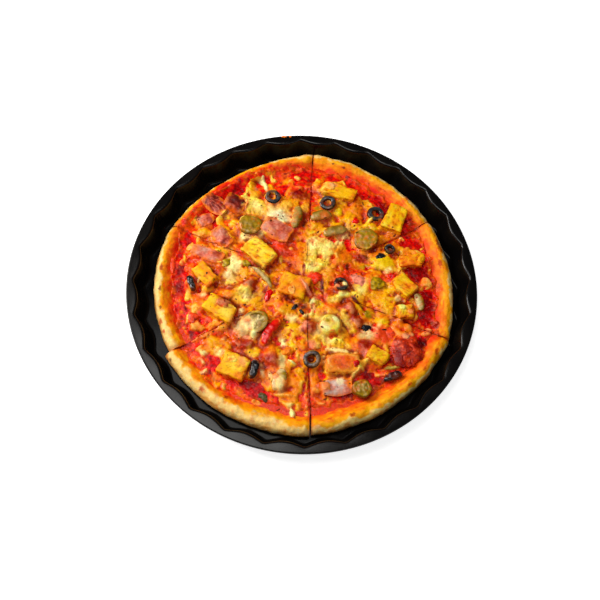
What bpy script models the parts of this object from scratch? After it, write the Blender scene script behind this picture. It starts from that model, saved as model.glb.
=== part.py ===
"""A pizza cut in six slices, resting in its own black fluted pan.

The origin is the middle of the pan's underside, +Z is up and the eater sits towards -Y.
All sizes and places are in millimetres, and add_object turns them into metres.
"""
import math
import random
from dataclasses import dataclass

import bmesh
import bpy
from mathutils import Matrix, Vector, noise

METRES_PER_MILLIMETRE = 0.001
CLEARANCE = 0.3

# Pan
PAN_RADIUS = 148.0
PAN_HEIGHT = 22.0
PAN_SHEET = 1.0
LIP_DROP = 2.5
LIP_SHEET = 1.2
FLANGE_EDGE_ROUND = 0.8
FLUTE_COUNT = 28
FLUTE_STEPS = 6
FLUTE_SHIFT = 2
FLUTE_RIDGE_RADIUS = 138.3
FLUTE_DEPTH = 4.2
WALL_LEAN = 3.4
FLOOR_LEAN = 5.4
FLOOR_CORNER_HEIGHT = 3.4

# Pizza: the point where the cuts meet, each cut's angle in degrees and its gap at the rim
CUT_CENTRE = Vector((3.0, 3.4))
CUTS = ((-20.0, 1.6), (32.3, 1.0), (90.4, 1.2), (159.3, 1.2), (213.7, 1.2), (275.0, 2.4))
TIP_GAP = 0.9
TIP_BLUNT = 2.0
SLICE_STEPS = 12

# Rim radius of each slice beside its first cut, in its middle and beside its second cut
RIM_RADII = (
    (131.0, 127.0, 127.4),
    (127.3, 128.2, 131.2),
    (131.2, 125.2, 131.0),
    (131.2, 130.6, 129.8),
    (134.8, 133.4, 134.0),
    (133.0, 129.8, 131.5),
)

# Bread: the rim's section as distance in from its edge and height above the pan's inner floor
BREAD_THICKNESS = 5.5
RIM_TOE = 17.0
RIM_CREST = 12.0
RIM_SECTION = ((13.0, 8.4), (9.6, 11.1), (6.4, RIM_CREST), (3.0, 10.8), (0.7, 7.8), (0.0, 4.9), (1.4, 1.5))
RIM_UNDERCUT = 4.0
RIM_UNEVENNESS = 0.9

# Sauce and cheese
SAUCE_THICKNESS = 1.2
SAUCE_EDGE = 17.6
SAUCE_EDGE_WANDER = 4.5
CHEESE_THICKNESS = 1.7
CHEESE_EDGE = 31.0
CHEESE_EDGE_WANDER = 9.0
CHEESE_RINGS = 7
CHEESE_STEPS = 10
CHEESE_UNEVENNESS = 0.7
CHEESE_EDGE_THICKNESS = 0.9

BREAD_BOTTOM = PAN_SHEET + CLEARANCE
BREAD_TOP = BREAD_BOTTOM + BREAD_THICKNESS
SAUCE_BOTTOM = BREAD_TOP + CLEARANCE
SAUCE_TOP = SAUCE_BOTTOM + SAUCE_THICKNESS
TOPPING_SEAT = SAUCE_TOP + CLEARANCE
POCKET_MARGIN = 0.45
POCKET_REACH = 12.0

# Mounds of melted cheese: place, radius and height above the cheese round them
MOUNDS = (
    (-64.0, -18.0, 15.0, 3.6),
    (-46.0, -4.0, 17.0, 3.0),
    (-28.0, 34.0, 14.0, 2.2),
    (-30.0, 70.0, 17.0, 2.4),
    (-44.0, -57.0, 12.0, 3.4),
    (-19.0, -66.0, 13.0, 4.2),
    (-18.0, -22.0, 12.0, 2.0),
    (17.0, 34.0, 20.0, 3.2),
    (40.0, 62.0, 13.0, 2.4),
    (24.0, -24.0, 17.0, 2.8),
    (45.0, -22.0, 14.0, 4.6),
    (52.0, 5.0, 17.0, 3.4),
    (73.0, 24.0, 13.0, 2.6),
    (56.0, -48.0, 14.0, 3.6),
    (68.0, -34.0, 12.0, 2.4),
    (12.0, -50.0, 12.0, 2.2),
    (92.0, 8.0, 10.0, 1.8),
)


@dataclass(frozen=True)
class Topping:
    """One piece on the pizza: its place, its size before it is turned, and how it lies."""

    x: float
    y: float
    length: float
    width: float
    height: float
    turn: float = 0.0
    tilt: float = 0.0
    lift: float = 0.0
    bend: float = 0.0


PANEER = (
    Topping(78.6, 69.8, 22.0, 15.0, 7.6, turn=72.0, tilt=2.0),
    Topping(-42.0, 27.0, 24.0, 14.0, 7.4, turn=-39.0, tilt=-2.0),
    Topping(-84.0, 2.0, 20.0, 13.0, 7.2, turn=-43.0, tilt=3.0),
    Topping(-68.5, -28.5, 25.0, 13.0, 7.6, turn=-28.0),
    Topping(-7.0, -3.0, 22.0, 21.0, 7.0, turn=-15.0, tilt=2.0),
    Topping(-52.0, -77.5, 19.0, 17.0, 8.0, turn=-20.0, tilt=-1.0),
    Topping(87.5, 4.0, 17.0, 13.0, 7.8, turn=-45.0, tilt=-2.0),
    Topping(65.5, -61.5, 15.0, 11.0, 7.0, turn=-30.0, tilt=4.0),
    Topping(28.0, 94.5, 28.0, 11.0, 6.8, turn=-14.0),
    Topping(37.5, -70.0, 28.0, 15.0, 5.6, turn=3.0, tilt=2.0),
    Topping(89.0, -19.5, 14.0, 12.0, 6.6, turn=10.0, tilt=3.0),
    Topping(92.0, 29.0, 19.0, 11.0, 6.0, turn=8.0, tilt=-3.0),
)
PANEER_EDGE = 1.1
PANEER_UNEVENNESS = 0.7

JALAPENO_SLICES = (
    Topping(-49.5, 54.0, 20.0, 20.0, 4.4, tilt=8.0, lift=1.0),
    Topping(53.0, 47.4, 21.0, 21.0, 4.8, turn=30.0, tilt=-7.0, lift=0.8),
    Topping(53.6, -90.0, 16.0, 15.0, 6.4, tilt=4.0),
    Topping(-36.3, -37.0, 19.0, 18.0, 4.2, turn=20.0, tilt=-6.0, lift=1.4),
    Topping(26.0, -36.0, 16.5, 16.5, 4.0, tilt=5.0, lift=2.2),
)
JALAPENO_SIDES = 12
JALAPENO_WALL = 0.26
JALAPENO_RECESS = 0.9
JALAPENO_ROUND = 0.8

JALAPENO_STRIPS = (
    Topping(-8.3, 65.0, 21.0, 7.5, 6.4, turn=82.0, bend=40.0, lift=0.6),
    Topping(12.5, 69.0, 18.0, 8.0, 5.6, turn=14.0, bend=-50.0, lift=0.6),
    Topping(25.5, 54.0, 21.0, 8.0, 5.4, turn=16.0, bend=-30.0, lift=1.2),
    Topping(-33.6, 5.2, 25.0, 4.6, 5.0, turn=-44.0, bend=-45.0, lift=1.6),
    Topping(-13.0, -87.0, 18.0, 8.0, 4.8, turn=74.0, bend=40.0),
    Topping(101.0, -9.0, 15.0, 6.5, 5.0, turn=-74.0, bend=-30.0),
)

OLIVE_RINGS = (
    Topping(-32.0, 85.0, 14.5, 14.0, 4.4, tilt=7.0),
    Topping(18.0, 82.0, 15.0, 14.5, 4.4, tilt=-8.0, lift=0.6),
    Topping(61.5, 74.0, 15.5, 14.5, 4.6, turn=20.0, tilt=8.0),
    Topping(74.5, 39.0, 9.5, 8.0, 4.0, tilt=10.0, lift=1.4),
    Topping(12.0, -68.0, 15.5, 14.5, 4.8, turn=70.0, tilt=-5.0, lift=1.6),
    Topping(33.0, 2.0, 13.0, 11.0, 4.2, turn=-20.0, tilt=9.0, lift=1.4),
)
OLIVE_SIDES = 12
OLIVE_HOLE = 0.46
OLIVE_ROUND = 0.9

OLIVE_STRIPS = (
    Topping(-34.3, -79.5, 16.0, 6.0, 6.4, turn=80.0, bend=35.0, lift=0.4),
    Topping(-95.0, -6.5, 15.0, 5.5, 6.0, turn=-69.0, bend=30.0),
    Topping(78.5, -77.0, 14.0, 5.5, 5.4, turn=25.0, bend=-40.0),
)

ONION_PETALS = (
    Topping(-64.6, 76.5, 17.0, 15.0, 2.4, turn=-24.0, tilt=10.0, bend=38.0),
    Topping(-90.0, 57.5, 14.0, 11.0, 2.2, turn=30.0, tilt=6.0, bend=30.0),
    Topping(-84.2, 73.4, 14.0, 11.0, 2.6, turn=140.0, tilt=-16.0, bend=36.0, lift=1.5),
    Topping(-26.2, 52.3, 23.0, 13.0, 2.4, turn=-25.0, tilt=4.0, bend=40.0, lift=1.0),
    Topping(-73.5, 41.5, 15.0, 12.0, 2.2, turn=60.0, tilt=12.0, bend=45.0, lift=0.4),
    Topping(-84.0, 23.0, 27.0, 11.0, 2.4, turn=-15.0, tilt=3.0, bend=35.0, lift=0.2),
    Topping(33.0, -89.5, 20.0, 13.0, 2.2, turn=10.0, tilt=7.0, bend=36.0),
)
PETAL_STEPS = 5
PETAL_BANDS = 3
PETAL_TAPER = 0.34

PEPPER_STRIPS = (Topping(-24.6, -45.0, 25.0, 6.0, 4.6, turn=62.0, bend=-40.0, lift=0.8),)
STRIP_STEPS = 6
STRIP_TAPER = 0.45

TOMATO_PIECES = (Topping(88.0, -52.5, 22.0, 24.0, 7.4, turn=20.0),)
TOMATO_UNEVENNESS = 1.1


def remove_scene_objects():
    """Empties the file's scene."""
    for obj in list(bpy.data.objects):
        bpy.data.objects.remove(obj, do_unlink=True)


def make_material(name, colour, roughness, metallic=0.0):
    """Makes a Principled material."""
    material = bpy.data.materials.new(name)
    material.use_nodes = True
    shader = material.node_tree.nodes["Principled BSDF"]
    shader.inputs["Base Color"].default_value = (*colour, 1.0)
    shader.inputs["Roughness"].default_value = roughness
    shader.inputs["Metallic"].default_value = metallic
    return material


def add_object(name, shape, material):
    """Turns a shape in millimetres into an object in metres with one material."""
    bmesh.ops.recalc_face_normals(shape, faces=shape.faces)
    bmesh.ops.scale(shape, vec=Vector((METRES_PER_MILLIMETRE,) * 3), verts=shape.verts)
    mesh = bpy.data.meshes.new(name)
    shape.to_mesh(mesh)
    shape.free()
    mesh.materials.append(material)
    obj = bpy.data.objects.new(name, mesh)
    bpy.context.scene.collection.objects.link(obj)
    return obj


def loft(sections, closed):
    """Joins sections of equally many points, with caps at both ends unless they close into a ring."""
    shape = bmesh.new()
    loops = [[shape.verts.new(point) for point in section] for section in sections]
    count = len(loops[0])
    pairs = list(zip(loops, loops[1:]))
    if closed:
        pairs.append((loops[-1], loops[0]))
    for before, after in pairs:
        for index in range(count):
            follower = (index + 1) % count
            shape.faces.new((before[index], before[follower], after[follower], after[index]))
    if not closed:
        shape.faces.new(loops[0])
        shape.faces.new(loops[-1])
    return shape


def flute(step):
    """How far out the fluted wall stands at one step round the pan, from 0 on a ridge to 1 in a corner."""
    phase = ((step - FLUTE_SHIFT) % FLUTE_STEPS) / FLUTE_STEPS
    return 1.0 - abs(math.sin(math.pi * phase))


def pan_ring(height, radius_at):
    """One closed line round the pan."""
    steps = FLUTE_COUNT * FLUTE_STEPS
    ring = []
    for step in range(steps):
        angle = 2.0 * math.pi * step / steps
        radius = radius_at(step)
        ring.append((radius * math.cos(angle), radius * math.sin(angle), height))
    return ring


def wall_ring(height, lean, outwards):
    """A line round the fluted wall: lean narrows it and outwards moves it off the inner face."""
    return pan_ring(height, lambda step: FLUTE_RIDGE_RADIUS + FLUTE_DEPTH * flute(step) - lean + outwards)


def round_ring(height, radius):
    """A plain circle round the pan."""
    return pan_ring(height, lambda step: radius)


def build_pan(material):
    """The pressed pan: flat floor, fluted wall, flat flange and a lip turned down at its edge."""
    under_flange = PAN_HEIGHT - PAN_SHEET
    lip_bottom = PAN_HEIGHT - LIP_DROP
    lip_inside = PAN_RADIUS - LIP_SHEET
    rings = [
        wall_ring(PAN_SHEET, FLOOR_LEAN, 0.0),
        wall_ring(FLOOR_CORNER_HEIGHT, WALL_LEAN, 0.0),
        wall_ring(PAN_HEIGHT - FLANGE_EDGE_ROUND, 0.0, 0.0),
        wall_ring(PAN_HEIGHT, 0.0, FLANGE_EDGE_ROUND),
        round_ring(PAN_HEIGHT, PAN_RADIUS),
        round_ring(lip_bottom, PAN_RADIUS),
        round_ring(lip_bottom, lip_inside),
        round_ring(under_flange, lip_inside),
        wall_ring(under_flange, 0.0, PAN_SHEET),
        wall_ring(FLOOR_CORNER_HEIGHT - PAN_SHEET / 2.0, WALL_LEAN, PAN_SHEET),
        wall_ring(0.0, FLOOR_LEAN, PAN_SHEET / 2.0),
    ]
    return add_object("pan", loft(rings, closed=False), material)


class Slice:
    """One sixth of the pizza, between two cuts."""

    def __init__(self, index):
        """Works out the slice's tip and the two ends of its rim."""
        first_angle, first_gap = CUTS[index]
        second_angle, second_gap = CUTS[(index + 1) % len(CUTS)]
        if second_angle < first_angle:
            second_angle += 360.0
        self.number = index + 1
        self.radii = RIM_RADII[index]
        self.start = math.radians(first_angle) + first_gap / 2.0 / self.radii[0]
        self.end = math.radians(second_angle) - second_gap / 2.0 / self.radii[2]
        half = (self.end - self.start) / 2.0
        middle = self.start + half
        self.tip = CUT_CENTRE + Vector((math.cos(middle), math.sin(middle))) * TIP_GAP / 2.0 / math.sin(half)

    def angle(self, across):
        """The direction from the middle of the pizza, across being 0 at the first cut and 1 at the second."""
        return self.start + (self.end - self.start) * across

    def edge(self, across):
        """The outermost point of the rim."""
        first, middle, last = self.radii
        angle = self.angle(across)
        radius = first * (1 - across) * (1 - 2 * across) + 4 * middle * across * (1 - across)
        radius += last * across * (2 * across - 1)
        return CUT_CENTRE + Vector((math.cos(angle), math.sin(angle))) * radius

    def from_edge(self, across, distance):
        """A point this far in from the rim's edge, on the straight line to the tip."""
        edge = self.edge(across)
        return edge + (self.tip - edge).normalized() * distance

    def from_tip(self, across, distance):
        """A point this far out from the tip."""
        return self.tip + (self.edge(across) - self.tip).normalized() * distance

    def wander(self, across, row, scale=3.0):
        """A smooth uneven value between about -1 and 1 along the slice's arc."""
        angle = self.angle(across)
        place = Vector((math.cos(angle) * scale, math.sin(angle) * scale, row))
        return 2.0 * noise.noise(place)


def at_height(point, height):
    """Lifts a plane point to a height."""
    return (point.x, point.y, height)


def each_section(steps):
    """The places of the sections from a slice's first cut to its second."""
    return [step / steps for step in range(steps + 1)]


def build_crust(part, material):
    """The bread of a slice: a flat base that rises into a rounded, uneven rim."""
    sections = []
    for across in each_section(SLICE_STEPS):
        swell = 1.0 + part.wander(across, 4.0) * RIM_UNEVENNESS / RIM_CREST
        section = [
            at_height(part.from_tip(across, TIP_BLUNT), BREAD_BOTTOM),
            at_height(part.from_tip(across, TIP_BLUNT), BREAD_TOP),
            at_height(part.from_edge(across, RIM_TOE), BREAD_TOP),
        ]
        for distance, height in RIM_SECTION:
            section.append(at_height(part.from_edge(across, distance), PAN_SHEET + height * swell))
        section.append(at_height(part.from_edge(across, RIM_UNDERCUT), BREAD_BOTTOM))
        sections.append(section)
    return add_object(f"crust_{part.number}", loft(sections, closed=False), material)


def build_sauce(part, material):
    """The thin layer of sauce on the bread, with an uneven edge at the foot of the rim."""
    sections = []
    for across in each_section(SLICE_STEPS):
        edge = SAUCE_EDGE + SAUCE_EDGE_WANDER * (0.5 + 0.5 * part.wander(across, 9.0, scale=6.0))
        sections.append([
            at_height(part.from_tip(across, TIP_BLUNT), SAUCE_BOTTOM),
            at_height(part.from_tip(across, TIP_BLUNT), SAUCE_TOP),
            at_height(part.from_edge(across, edge), SAUCE_TOP),
            at_height(part.from_edge(across, edge + SAUCE_THICKNESS), SAUCE_BOTTOM),
        ])
    return add_object(f"sauce_{part.number}", loft(sections, closed=False), material)


def cheese_height(place):
    """The height of the melted cheese's surface at a place."""
    rise = 0.0
    for x, y, radius, height in MOUNDS:
        distance = (place - Vector((x, y))).length / radius
        if distance < 1.0:
            rise = max(rise, height * (1.0 - distance * distance) ** 2)
    uneven = noise.noise(Vector((place.x, place.y, 0.0)) / 11.0) * 2.0 * CHEESE_UNEVENNESS
    return TOPPING_SEAT + CHEESE_THICKNESS + rise + uneven


def build_cheese(part, material, pockets):
    """The melted cheese of a slice, lumpy on top, with a pocket wherever a topping lies."""
    sections = []
    for across in each_section(CHEESE_STEPS):
        reach = (part.edge(across) - part.tip).length
        outline = reach - CHEESE_EDGE - CHEESE_EDGE_WANDER * part.wander(across, 15.0, scale=5.0)
        section = [at_height(part.from_tip(across, TIP_BLUNT), TOPPING_SEAT)]
        for ring in range(CHEESE_RINGS):
            distance = TIP_BLUNT + (outline - TIP_BLUNT) * ring / CHEESE_RINGS
            place = part.from_tip(across, distance)
            section.append(at_height(place, cheese_height(place)))
        brink = part.from_tip(across, outline)
        section.append(at_height(brink, TOPPING_SEAT + CHEESE_EDGE_THICKNESS))
        section.append(at_height(brink, TOPPING_SEAT))
        sections.append(section)
    cheese = add_object(f"cheese_{part.number}", loft(sections, closed=False), material)
    cut_pockets(cheese, pockets)
    return cheese


def cut_pockets(cheese, pockets):
    """Cuts the toppings' pockets out of a slice's cheese and drops the scraps that come loose."""
    cut = cheese.modifiers.new("pockets", "BOOLEAN")
    cut.operation = "DIFFERENCE"
    cut.solver = "EXACT"
    cut.operand_type = "COLLECTION"
    cut.collection = pockets
    evaluated = cheese.evaluated_get(bpy.context.evaluated_depsgraph_get())
    mesh = bpy.data.meshes.new_from_object(evaluated)
    cheese.modifiers.remove(cut)
    shape = bmesh.new()
    shape.from_mesh(mesh)
    keep = max(connected_parts(shape), key=len)
    loose = [vert for vert in shape.verts if vert not in keep]
    bmesh.ops.delete(shape, geom=loose, context="VERTS")
    shape.to_mesh(mesh)
    shape.free()
    cheese.data = mesh


def connected_parts(shape):
    """The shape's vertices, as one set for each connected part."""
    unseen = set(shape.verts)
    parts = []
    while unseen:
        reached = set()
        edge_of_search = [unseen.pop()]
        while edge_of_search:
            vert = edge_of_search.pop()
            reached.add(vert)
            for edge in vert.link_edges:
                other = edge.other_vert(vert)
                if other in unseen:
                    unseen.remove(other)
                    edge_of_search.append(other)
        parts.append(reached)
    return parts


def turned(profile, sides, width_share):
    """A shape turned about +Z from radii and heights that start and end on the axis or close on themselves."""
    on_axis = profile[0][0] == 0.0
    body = profile[1:-1] if on_axis else profile
    rings = []
    for radius, height in body:
        ring = []
        for side in range(sides):
            angle = 2.0 * math.pi * side / sides
            ring.append((radius * math.cos(angle), radius * width_share * math.sin(angle), height))
        rings.append(ring)
    return loft(rings, closed=not on_axis)


def paneer_shape(topping, draw):
    """A cut block of paneer, a little uneven, with worn edges."""
    shape = bmesh.new()
    bmesh.ops.create_cube(shape, size=1.0)
    size = Vector((topping.length, topping.width, topping.height))
    bmesh.ops.scale(shape, vec=size, verts=shape.verts)
    for vert in shape.verts:
        vert.co.x += draw.uniform(-PANEER_UNEVENNESS, PANEER_UNEVENNESS)
        vert.co.y += draw.uniform(-PANEER_UNEVENNESS, PANEER_UNEVENNESS)
    bmesh.ops.bevel(shape, geom=shape.edges[:], offset=PANEER_EDGE, segments=1, affect="EDGES", profile=0.5)
    return shape


def jalapeno_slice_shape(topping, draw):
    """A cross slice of a pickled jalapeno: a raised ring of flesh round a sunken core."""
    radius = topping.length / 2.0
    half = topping.height / 2.0
    core = radius * (1.0 - JALAPENO_WALL - draw.uniform(0.0, 0.08))
    web = half - JALAPENO_RECESS
    profile = (
        (0.0, web),
        (core * 0.92, web),
        (core, half),
        (radius - JALAPENO_ROUND, half),
        (radius, 0.0),
        (radius - JALAPENO_ROUND, -half),
        (core, -half),
        (core * 0.92, -web),
        (0.0, -web),
    )
    return turned(profile, JALAPENO_SIDES, topping.width / topping.length)


def olive_ring_shape(topping, draw):
    """A ring cut from a pitted black olive."""
    radius = topping.length / 2.0
    half = topping.height / 2.0
    hole = radius * (OLIVE_HOLE + draw.uniform(-0.04, 0.04))
    profile = (
        (hole, half),
        (radius - OLIVE_ROUND, half),
        (radius, 0.0),
        (radius - OLIVE_ROUND, -half),
        (hole, -half),
    )
    return turned(profile, OLIVE_SIDES, topping.width / topping.length)


def strip_shape(topping, draw):
    """A bowed strip that narrows to both ends, as a piece of ring seen from above."""
    bend = math.radians(topping.bend)
    radius = topping.length / bend
    sections = []
    for step in range(STRIP_STEPS + 1):
        share = step / STRIP_STEPS
        angle = bend * (share - 0.5)
        girth = 1.0 - STRIP_TAPER * abs(2.0 * share - 1.0) ** 2 + draw.uniform(-0.05, 0.05)
        half_width = topping.width / 2.0 * girth
        half_height = topping.height / 2.0 * girth
        middle = Vector((radius * math.sin(angle), radius * (1.0 - math.cos(angle)), 0.0))
        outwards = Vector((-math.sin(angle), math.cos(angle), 0.0))
        up = Vector((0.0, 0.0, 1.0))
        corners = ((-1.0, -0.7), (-0.7, 1.0), (0.7, 1.0), (1.0, -0.7), (0.0, -1.0))
        sections.append([middle + outwards * half_width * a + up * half_height * b for a, b in corners])
    return loft(sections, closed=False)


def petal_shape(topping, draw):
    """A curved leaf of onion of even thickness, arched along its width."""
    arch = math.radians(topping.bend)
    radius = topping.width / (2.0 * math.sin(arch))
    sections = []
    for step in range(PETAL_STEPS + 1):
        share = step / PETAL_STEPS
        narrow = 1.0 - PETAL_TAPER * abs(2.0 * share - 1.0) ** 2.0 + draw.uniform(-0.03, 0.03)
        along = topping.length * (share - 0.5)
        upper = []
        lower = []
        for band in range(PETAL_BANDS + 1):
            angle = arch * (2.0 * band / PETAL_BANDS - 1.0) * narrow
            across = Vector((0.0, math.sin(angle), math.cos(angle)))
            centre = Vector((along, 0.0, -radius))
            upper.append(centre + across * (radius + topping.height))
            lower.append(centre + across * radius)
        sections.append(upper + lower[::-1])
    return loft(sections, closed=False)


def tomato_shape(topping, draw):
    """A soft baked lump of tomato."""
    shape = bmesh.new()
    bmesh.ops.create_icosphere(shape, subdivisions=2, radius=0.5)
    for vert in shape.verts:
        flat = max(vert.co.z, -0.3)
        vert.co.x *= topping.length
        vert.co.y *= topping.width
        vert.co.z = flat * topping.height
        vert.co += vert.normal * draw.uniform(-TOMATO_UNEVENNESS, TOMATO_UNEVENNESS) * (vert.co.z > 0.0)
    return shape


def lay(shape, topping):
    """Tilts and turns a topping's shape and sets its lowest point on the sauce, at the topping's lift."""
    tilt = Matrix.Rotation(math.radians(topping.tilt), 4, "Y")
    turn = Matrix.Rotation(math.radians(topping.turn), 4, "Z")
    bmesh.ops.transform(shape, matrix=turn @ tilt, verts=shape.verts)
    lowest = min(vert.co.z for vert in shape.verts)
    place = Vector((topping.x, topping.y, TOPPING_SEAT + topping.lift - lowest))
    bmesh.ops.translate(shape, vec=place, verts=shape.verts)


def pocket_shape(shape):
    """A convex cutter a little larger than a topping, open upwards."""
    low = Vector([min(vert.co[axis] for vert in shape.verts) for axis in range(3)])
    high = Vector([max(vert.co[axis] for vert in shape.verts) for axis in range(3)])
    middle = (low + high) / 2.0
    size = high - low
    grow = Matrix.Diagonal([1.0 + 2.0 * POCKET_MARGIN / size[axis] for axis in range(3)])
    pocket = bmesh.new()
    for vert in shape.verts:
        low_point = middle + grow @ (vert.co - middle)
        pocket.verts.new(low_point)
        pocket.verts.new(low_point + Vector((0.0, 0.0, POCKET_REACH)))
    hull = bmesh.ops.convex_hull(pocket, input=pocket.verts[:])
    spare = {item for item in hull["geom_interior"] + hull["geom_unused"] if isinstance(item, bmesh.types.BMVert)}
    bmesh.ops.delete(pocket, geom=list(spare), context="VERTS")
    return pocket


def build_toppings(kind, toppings, make_shape, material, pockets, first=1):
    """Lays every topping of a kind and leaves the cutter of its pocket among the pockets."""
    for number, topping in enumerate(toppings, start=first):
        draw = random.Random(f"{kind} {number}")
        shape = make_shape(topping, draw)
        lay(shape, topping)
        cutter = add_object(f"pocket_{kind}_{number}", pocket_shape(shape), material)
        cutter.hide_render = True
        cutter.display_type = "WIRE"
        bpy.context.scene.collection.objects.unlink(cutter)
        pockets.objects.link(cutter)
        add_object(f"{kind}_{number}", shape, material)


def build_all():
    """Builds the pan, the toppings and then the six slices round them."""
    remove_scene_objects()
    black = make_material("black_enamel", (0.006, 0.006, 0.007), 0.22)
    bread = make_material("baked_bread", (0.80, 0.50, 0.20), 0.65)
    tomato_sauce = make_material("tomato_sauce", (0.55, 0.05, 0.02), 0.35)
    melted_cheese = make_material("melted_cheese", (0.90, 0.52, 0.14), 0.40)
    paneer = make_material("paneer", (0.92, 0.55, 0.10), 0.45)
    jalapeno = make_material("pickled_jalapeno", (0.33, 0.26, 0.04), 0.30)
    olive = make_material("black_olive", (0.02, 0.02, 0.025), 0.25)
    onion = make_material("red_onion", (0.50, 0.12, 0.14), 0.30)
    pepper = make_material("red_pepper", (0.62, 0.05, 0.02), 0.28)
    tomato = make_material("baked_tomato", (0.45, 0.08, 0.03), 0.35)

    build_pan(black)
    pockets = bpy.data.collections.new("pockets")
    bpy.context.scene.collection.children.link(pockets)
    build_toppings("paneer", PANEER, paneer_shape, paneer, pockets)
    build_toppings("jalapeno", JALAPENO_SLICES, jalapeno_slice_shape, jalapeno, pockets)
    after_slices = len(JALAPENO_SLICES) + 1
    build_toppings("jalapeno", JALAPENO_STRIPS, strip_shape, jalapeno, pockets, after_slices)
    build_toppings("olive", OLIVE_RINGS, olive_ring_shape, olive, pockets)
    build_toppings("olive", OLIVE_STRIPS, strip_shape, olive, pockets, len(OLIVE_RINGS) + 1)
    build_toppings("onion", ONION_PETALS, petal_shape, onion, pockets)
    build_toppings("pepper", PEPPER_STRIPS, strip_shape, pepper, pockets)
    build_toppings("tomato", TOMATO_PIECES, tomato_shape, tomato, pockets)
    for index in range(len(CUTS)):
        part = Slice(index)
        build_crust(part, bread)
        build_sauce(part, tomato_sauce)
        build_cheese(part, melted_cheese, pockets)
    for cutter in list(pockets.objects):
        bpy.data.objects.remove(cutter, do_unlink=True)
    bpy.data.collections.remove(pockets)


build_all()
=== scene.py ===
"""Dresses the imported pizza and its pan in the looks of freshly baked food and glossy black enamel.

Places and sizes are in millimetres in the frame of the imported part: the origin is the middle of the pan's
underside, +Z is up and the eater sits towards -Y. The heights and colours of the melted surface are worked out
on one sheet of samples, and the bread, sauce and cheese of every slice then take theirs from it.
"""
from __future__ import annotations

import logging
import math
from dataclasses import dataclass, field
from enum import Enum

import bmesh
import bpy
import numpy as np
from mathutils import Matrix, Vector, noise
from mathutils.bvhtree import BVHTree


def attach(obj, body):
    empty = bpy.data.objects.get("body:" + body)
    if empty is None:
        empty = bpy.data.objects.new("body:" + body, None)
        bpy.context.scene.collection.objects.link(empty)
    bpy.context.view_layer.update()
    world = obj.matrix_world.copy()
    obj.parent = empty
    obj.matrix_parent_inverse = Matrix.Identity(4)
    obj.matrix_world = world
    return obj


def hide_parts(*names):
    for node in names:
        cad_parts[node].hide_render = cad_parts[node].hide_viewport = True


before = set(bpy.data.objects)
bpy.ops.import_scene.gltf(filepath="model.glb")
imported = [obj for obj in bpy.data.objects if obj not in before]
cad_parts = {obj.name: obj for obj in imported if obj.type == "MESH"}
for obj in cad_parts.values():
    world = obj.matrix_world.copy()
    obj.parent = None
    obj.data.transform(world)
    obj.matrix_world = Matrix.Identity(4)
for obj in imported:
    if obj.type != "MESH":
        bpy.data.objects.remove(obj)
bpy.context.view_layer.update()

LOG = logging.getLogger("pizza")
MM = 0.001

# Heights of the layers above the pan's underside
BREAD_BOTTOM = 1.3
BREAD_TOP = 6.8
SAUCE_BOTTOM = 7.0
SAUCE_THICKNESS = 1.5
CHEESE_BOTTOM = 7.3
TOPPING_SEAT = 8.6
PAN_TOP = 22.0
# The share of a scrap's height that is sunk in what it lies on, and how deep the crumbs are set in the flange
SCRAP_SINK = 0.45
CRUMB_SINK = 0.3
# Looks straight down start at this height, above everything
LOOK_FROM = 60.0
DOWN = Vector((0.0, 0.0, -1.0))

# The point where the cuts meet, and each cut's angle in degrees and half its gap
CUT_CENTRE = (3.0, 3.4)
CUTS = ((-20.0, 0.7), (32.3, 0.5), (90.4, 0.55), (159.3, 0.5), (213.7, 0.5), (275.0, 0.75))
# The rim's radius at each slice's first cut, in its middle and at its second cut
RIM_RADII = (
    (131.0, 127.0, 127.4),
    (127.3, 128.6, 133.6),
    (133.6, 126.0, 131.0),
    (131.2, 130.6, 129.8),
    (134.8, 133.4, 134.0),
    (133.0, 129.8, 131.5),
)
# How far each layer has closed the cuts; the cheese is shut except over the stretches listed below
BREAD_SEAL = 0.0
SAUCE_SEAL = 0.7
CHEESE_SEAL = 1.0
# Half the length over which an open stretch fades in and out, and the reach of the dark line beside it
OPENING_FADE = 3.0
CUT_SHADE_REACH = 1.9
# Radii between which the melted cheese leaves each cut open, with how far it opens there
CUT_OPENINGS = (
    ((44.0, 74.0, 0.55), (80.0, 140.0, 1.0)),
    ((64.0, 140.0, 0.9),),
    ((20.0, 40.0, 0.3), (60.0, 140.0, 0.9)),
    ((30.0, 52.0, 0.5), (62.0, 112.0, 0.75), (118.0, 140.0, 0.8)),
    ((30.0, 52.0, 0.25), (62.0, 140.0, 0.7)),
    ((30.0, 60.0, 0.4), (78.0, 140.0, 1.0)),
)
# Painted light that brightens the rim round the pizza, most at its lower right, where the lamps leave it in shade
RIM_BAKE = ((0, 1.0), (270, 1.0), (290, 1.12), (320, 1.16), (340, 1.05), (360, 1.0))
# Distance in from the rim's edge at which the sauce begins, round the pizza
SAUCE_EDGES = (
    (0, 14.5), (25, 14.0), (35, 15.0), (50, 13.0), (70, 14.0), (88, 17.0), (92, 15.0), (100, 12.0), (115, 6.5),
    (135, 5.5), (155, 7.0), (162, 11.5), (175, 13.0), (190, 14.0), (205, 15.0), (212, 16.0), (220, 16.0),
    (235, 14.0), (250, 17.0), (265, 22.0), (275, 20.0), (285, 20.0), (300, 17.0), (320, 14.0), (335, 13.0),
    (345, 14.0), (360, 14.5),
)
# The bread's upper line as distance in from the rim's edge and height
BREAD_LINE = (
    (0.0, 5.9), (0.3, 7.6), (0.9, 9.2), (1.8, 10.7), (3.0, 11.9), (4.6, 12.8), (6.4, 13.1), (8.0, 12.8),
    (9.6, 12.1), (11.3, 10.9), (13.0, 9.5), (15.0, 7.9), (17.0, 7.0), (19.0, 6.8),
)
# How much of the melted surface's film of colour shows on the toppings, and on the smooth skin of the olives
FILM_SHARE = 0.9
FILM_SHARE_OLIVE = 0.3
# How much the colours are deepened, because the sheen over them pales them
DEPTH_OF_COLOUR = 1.2


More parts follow.
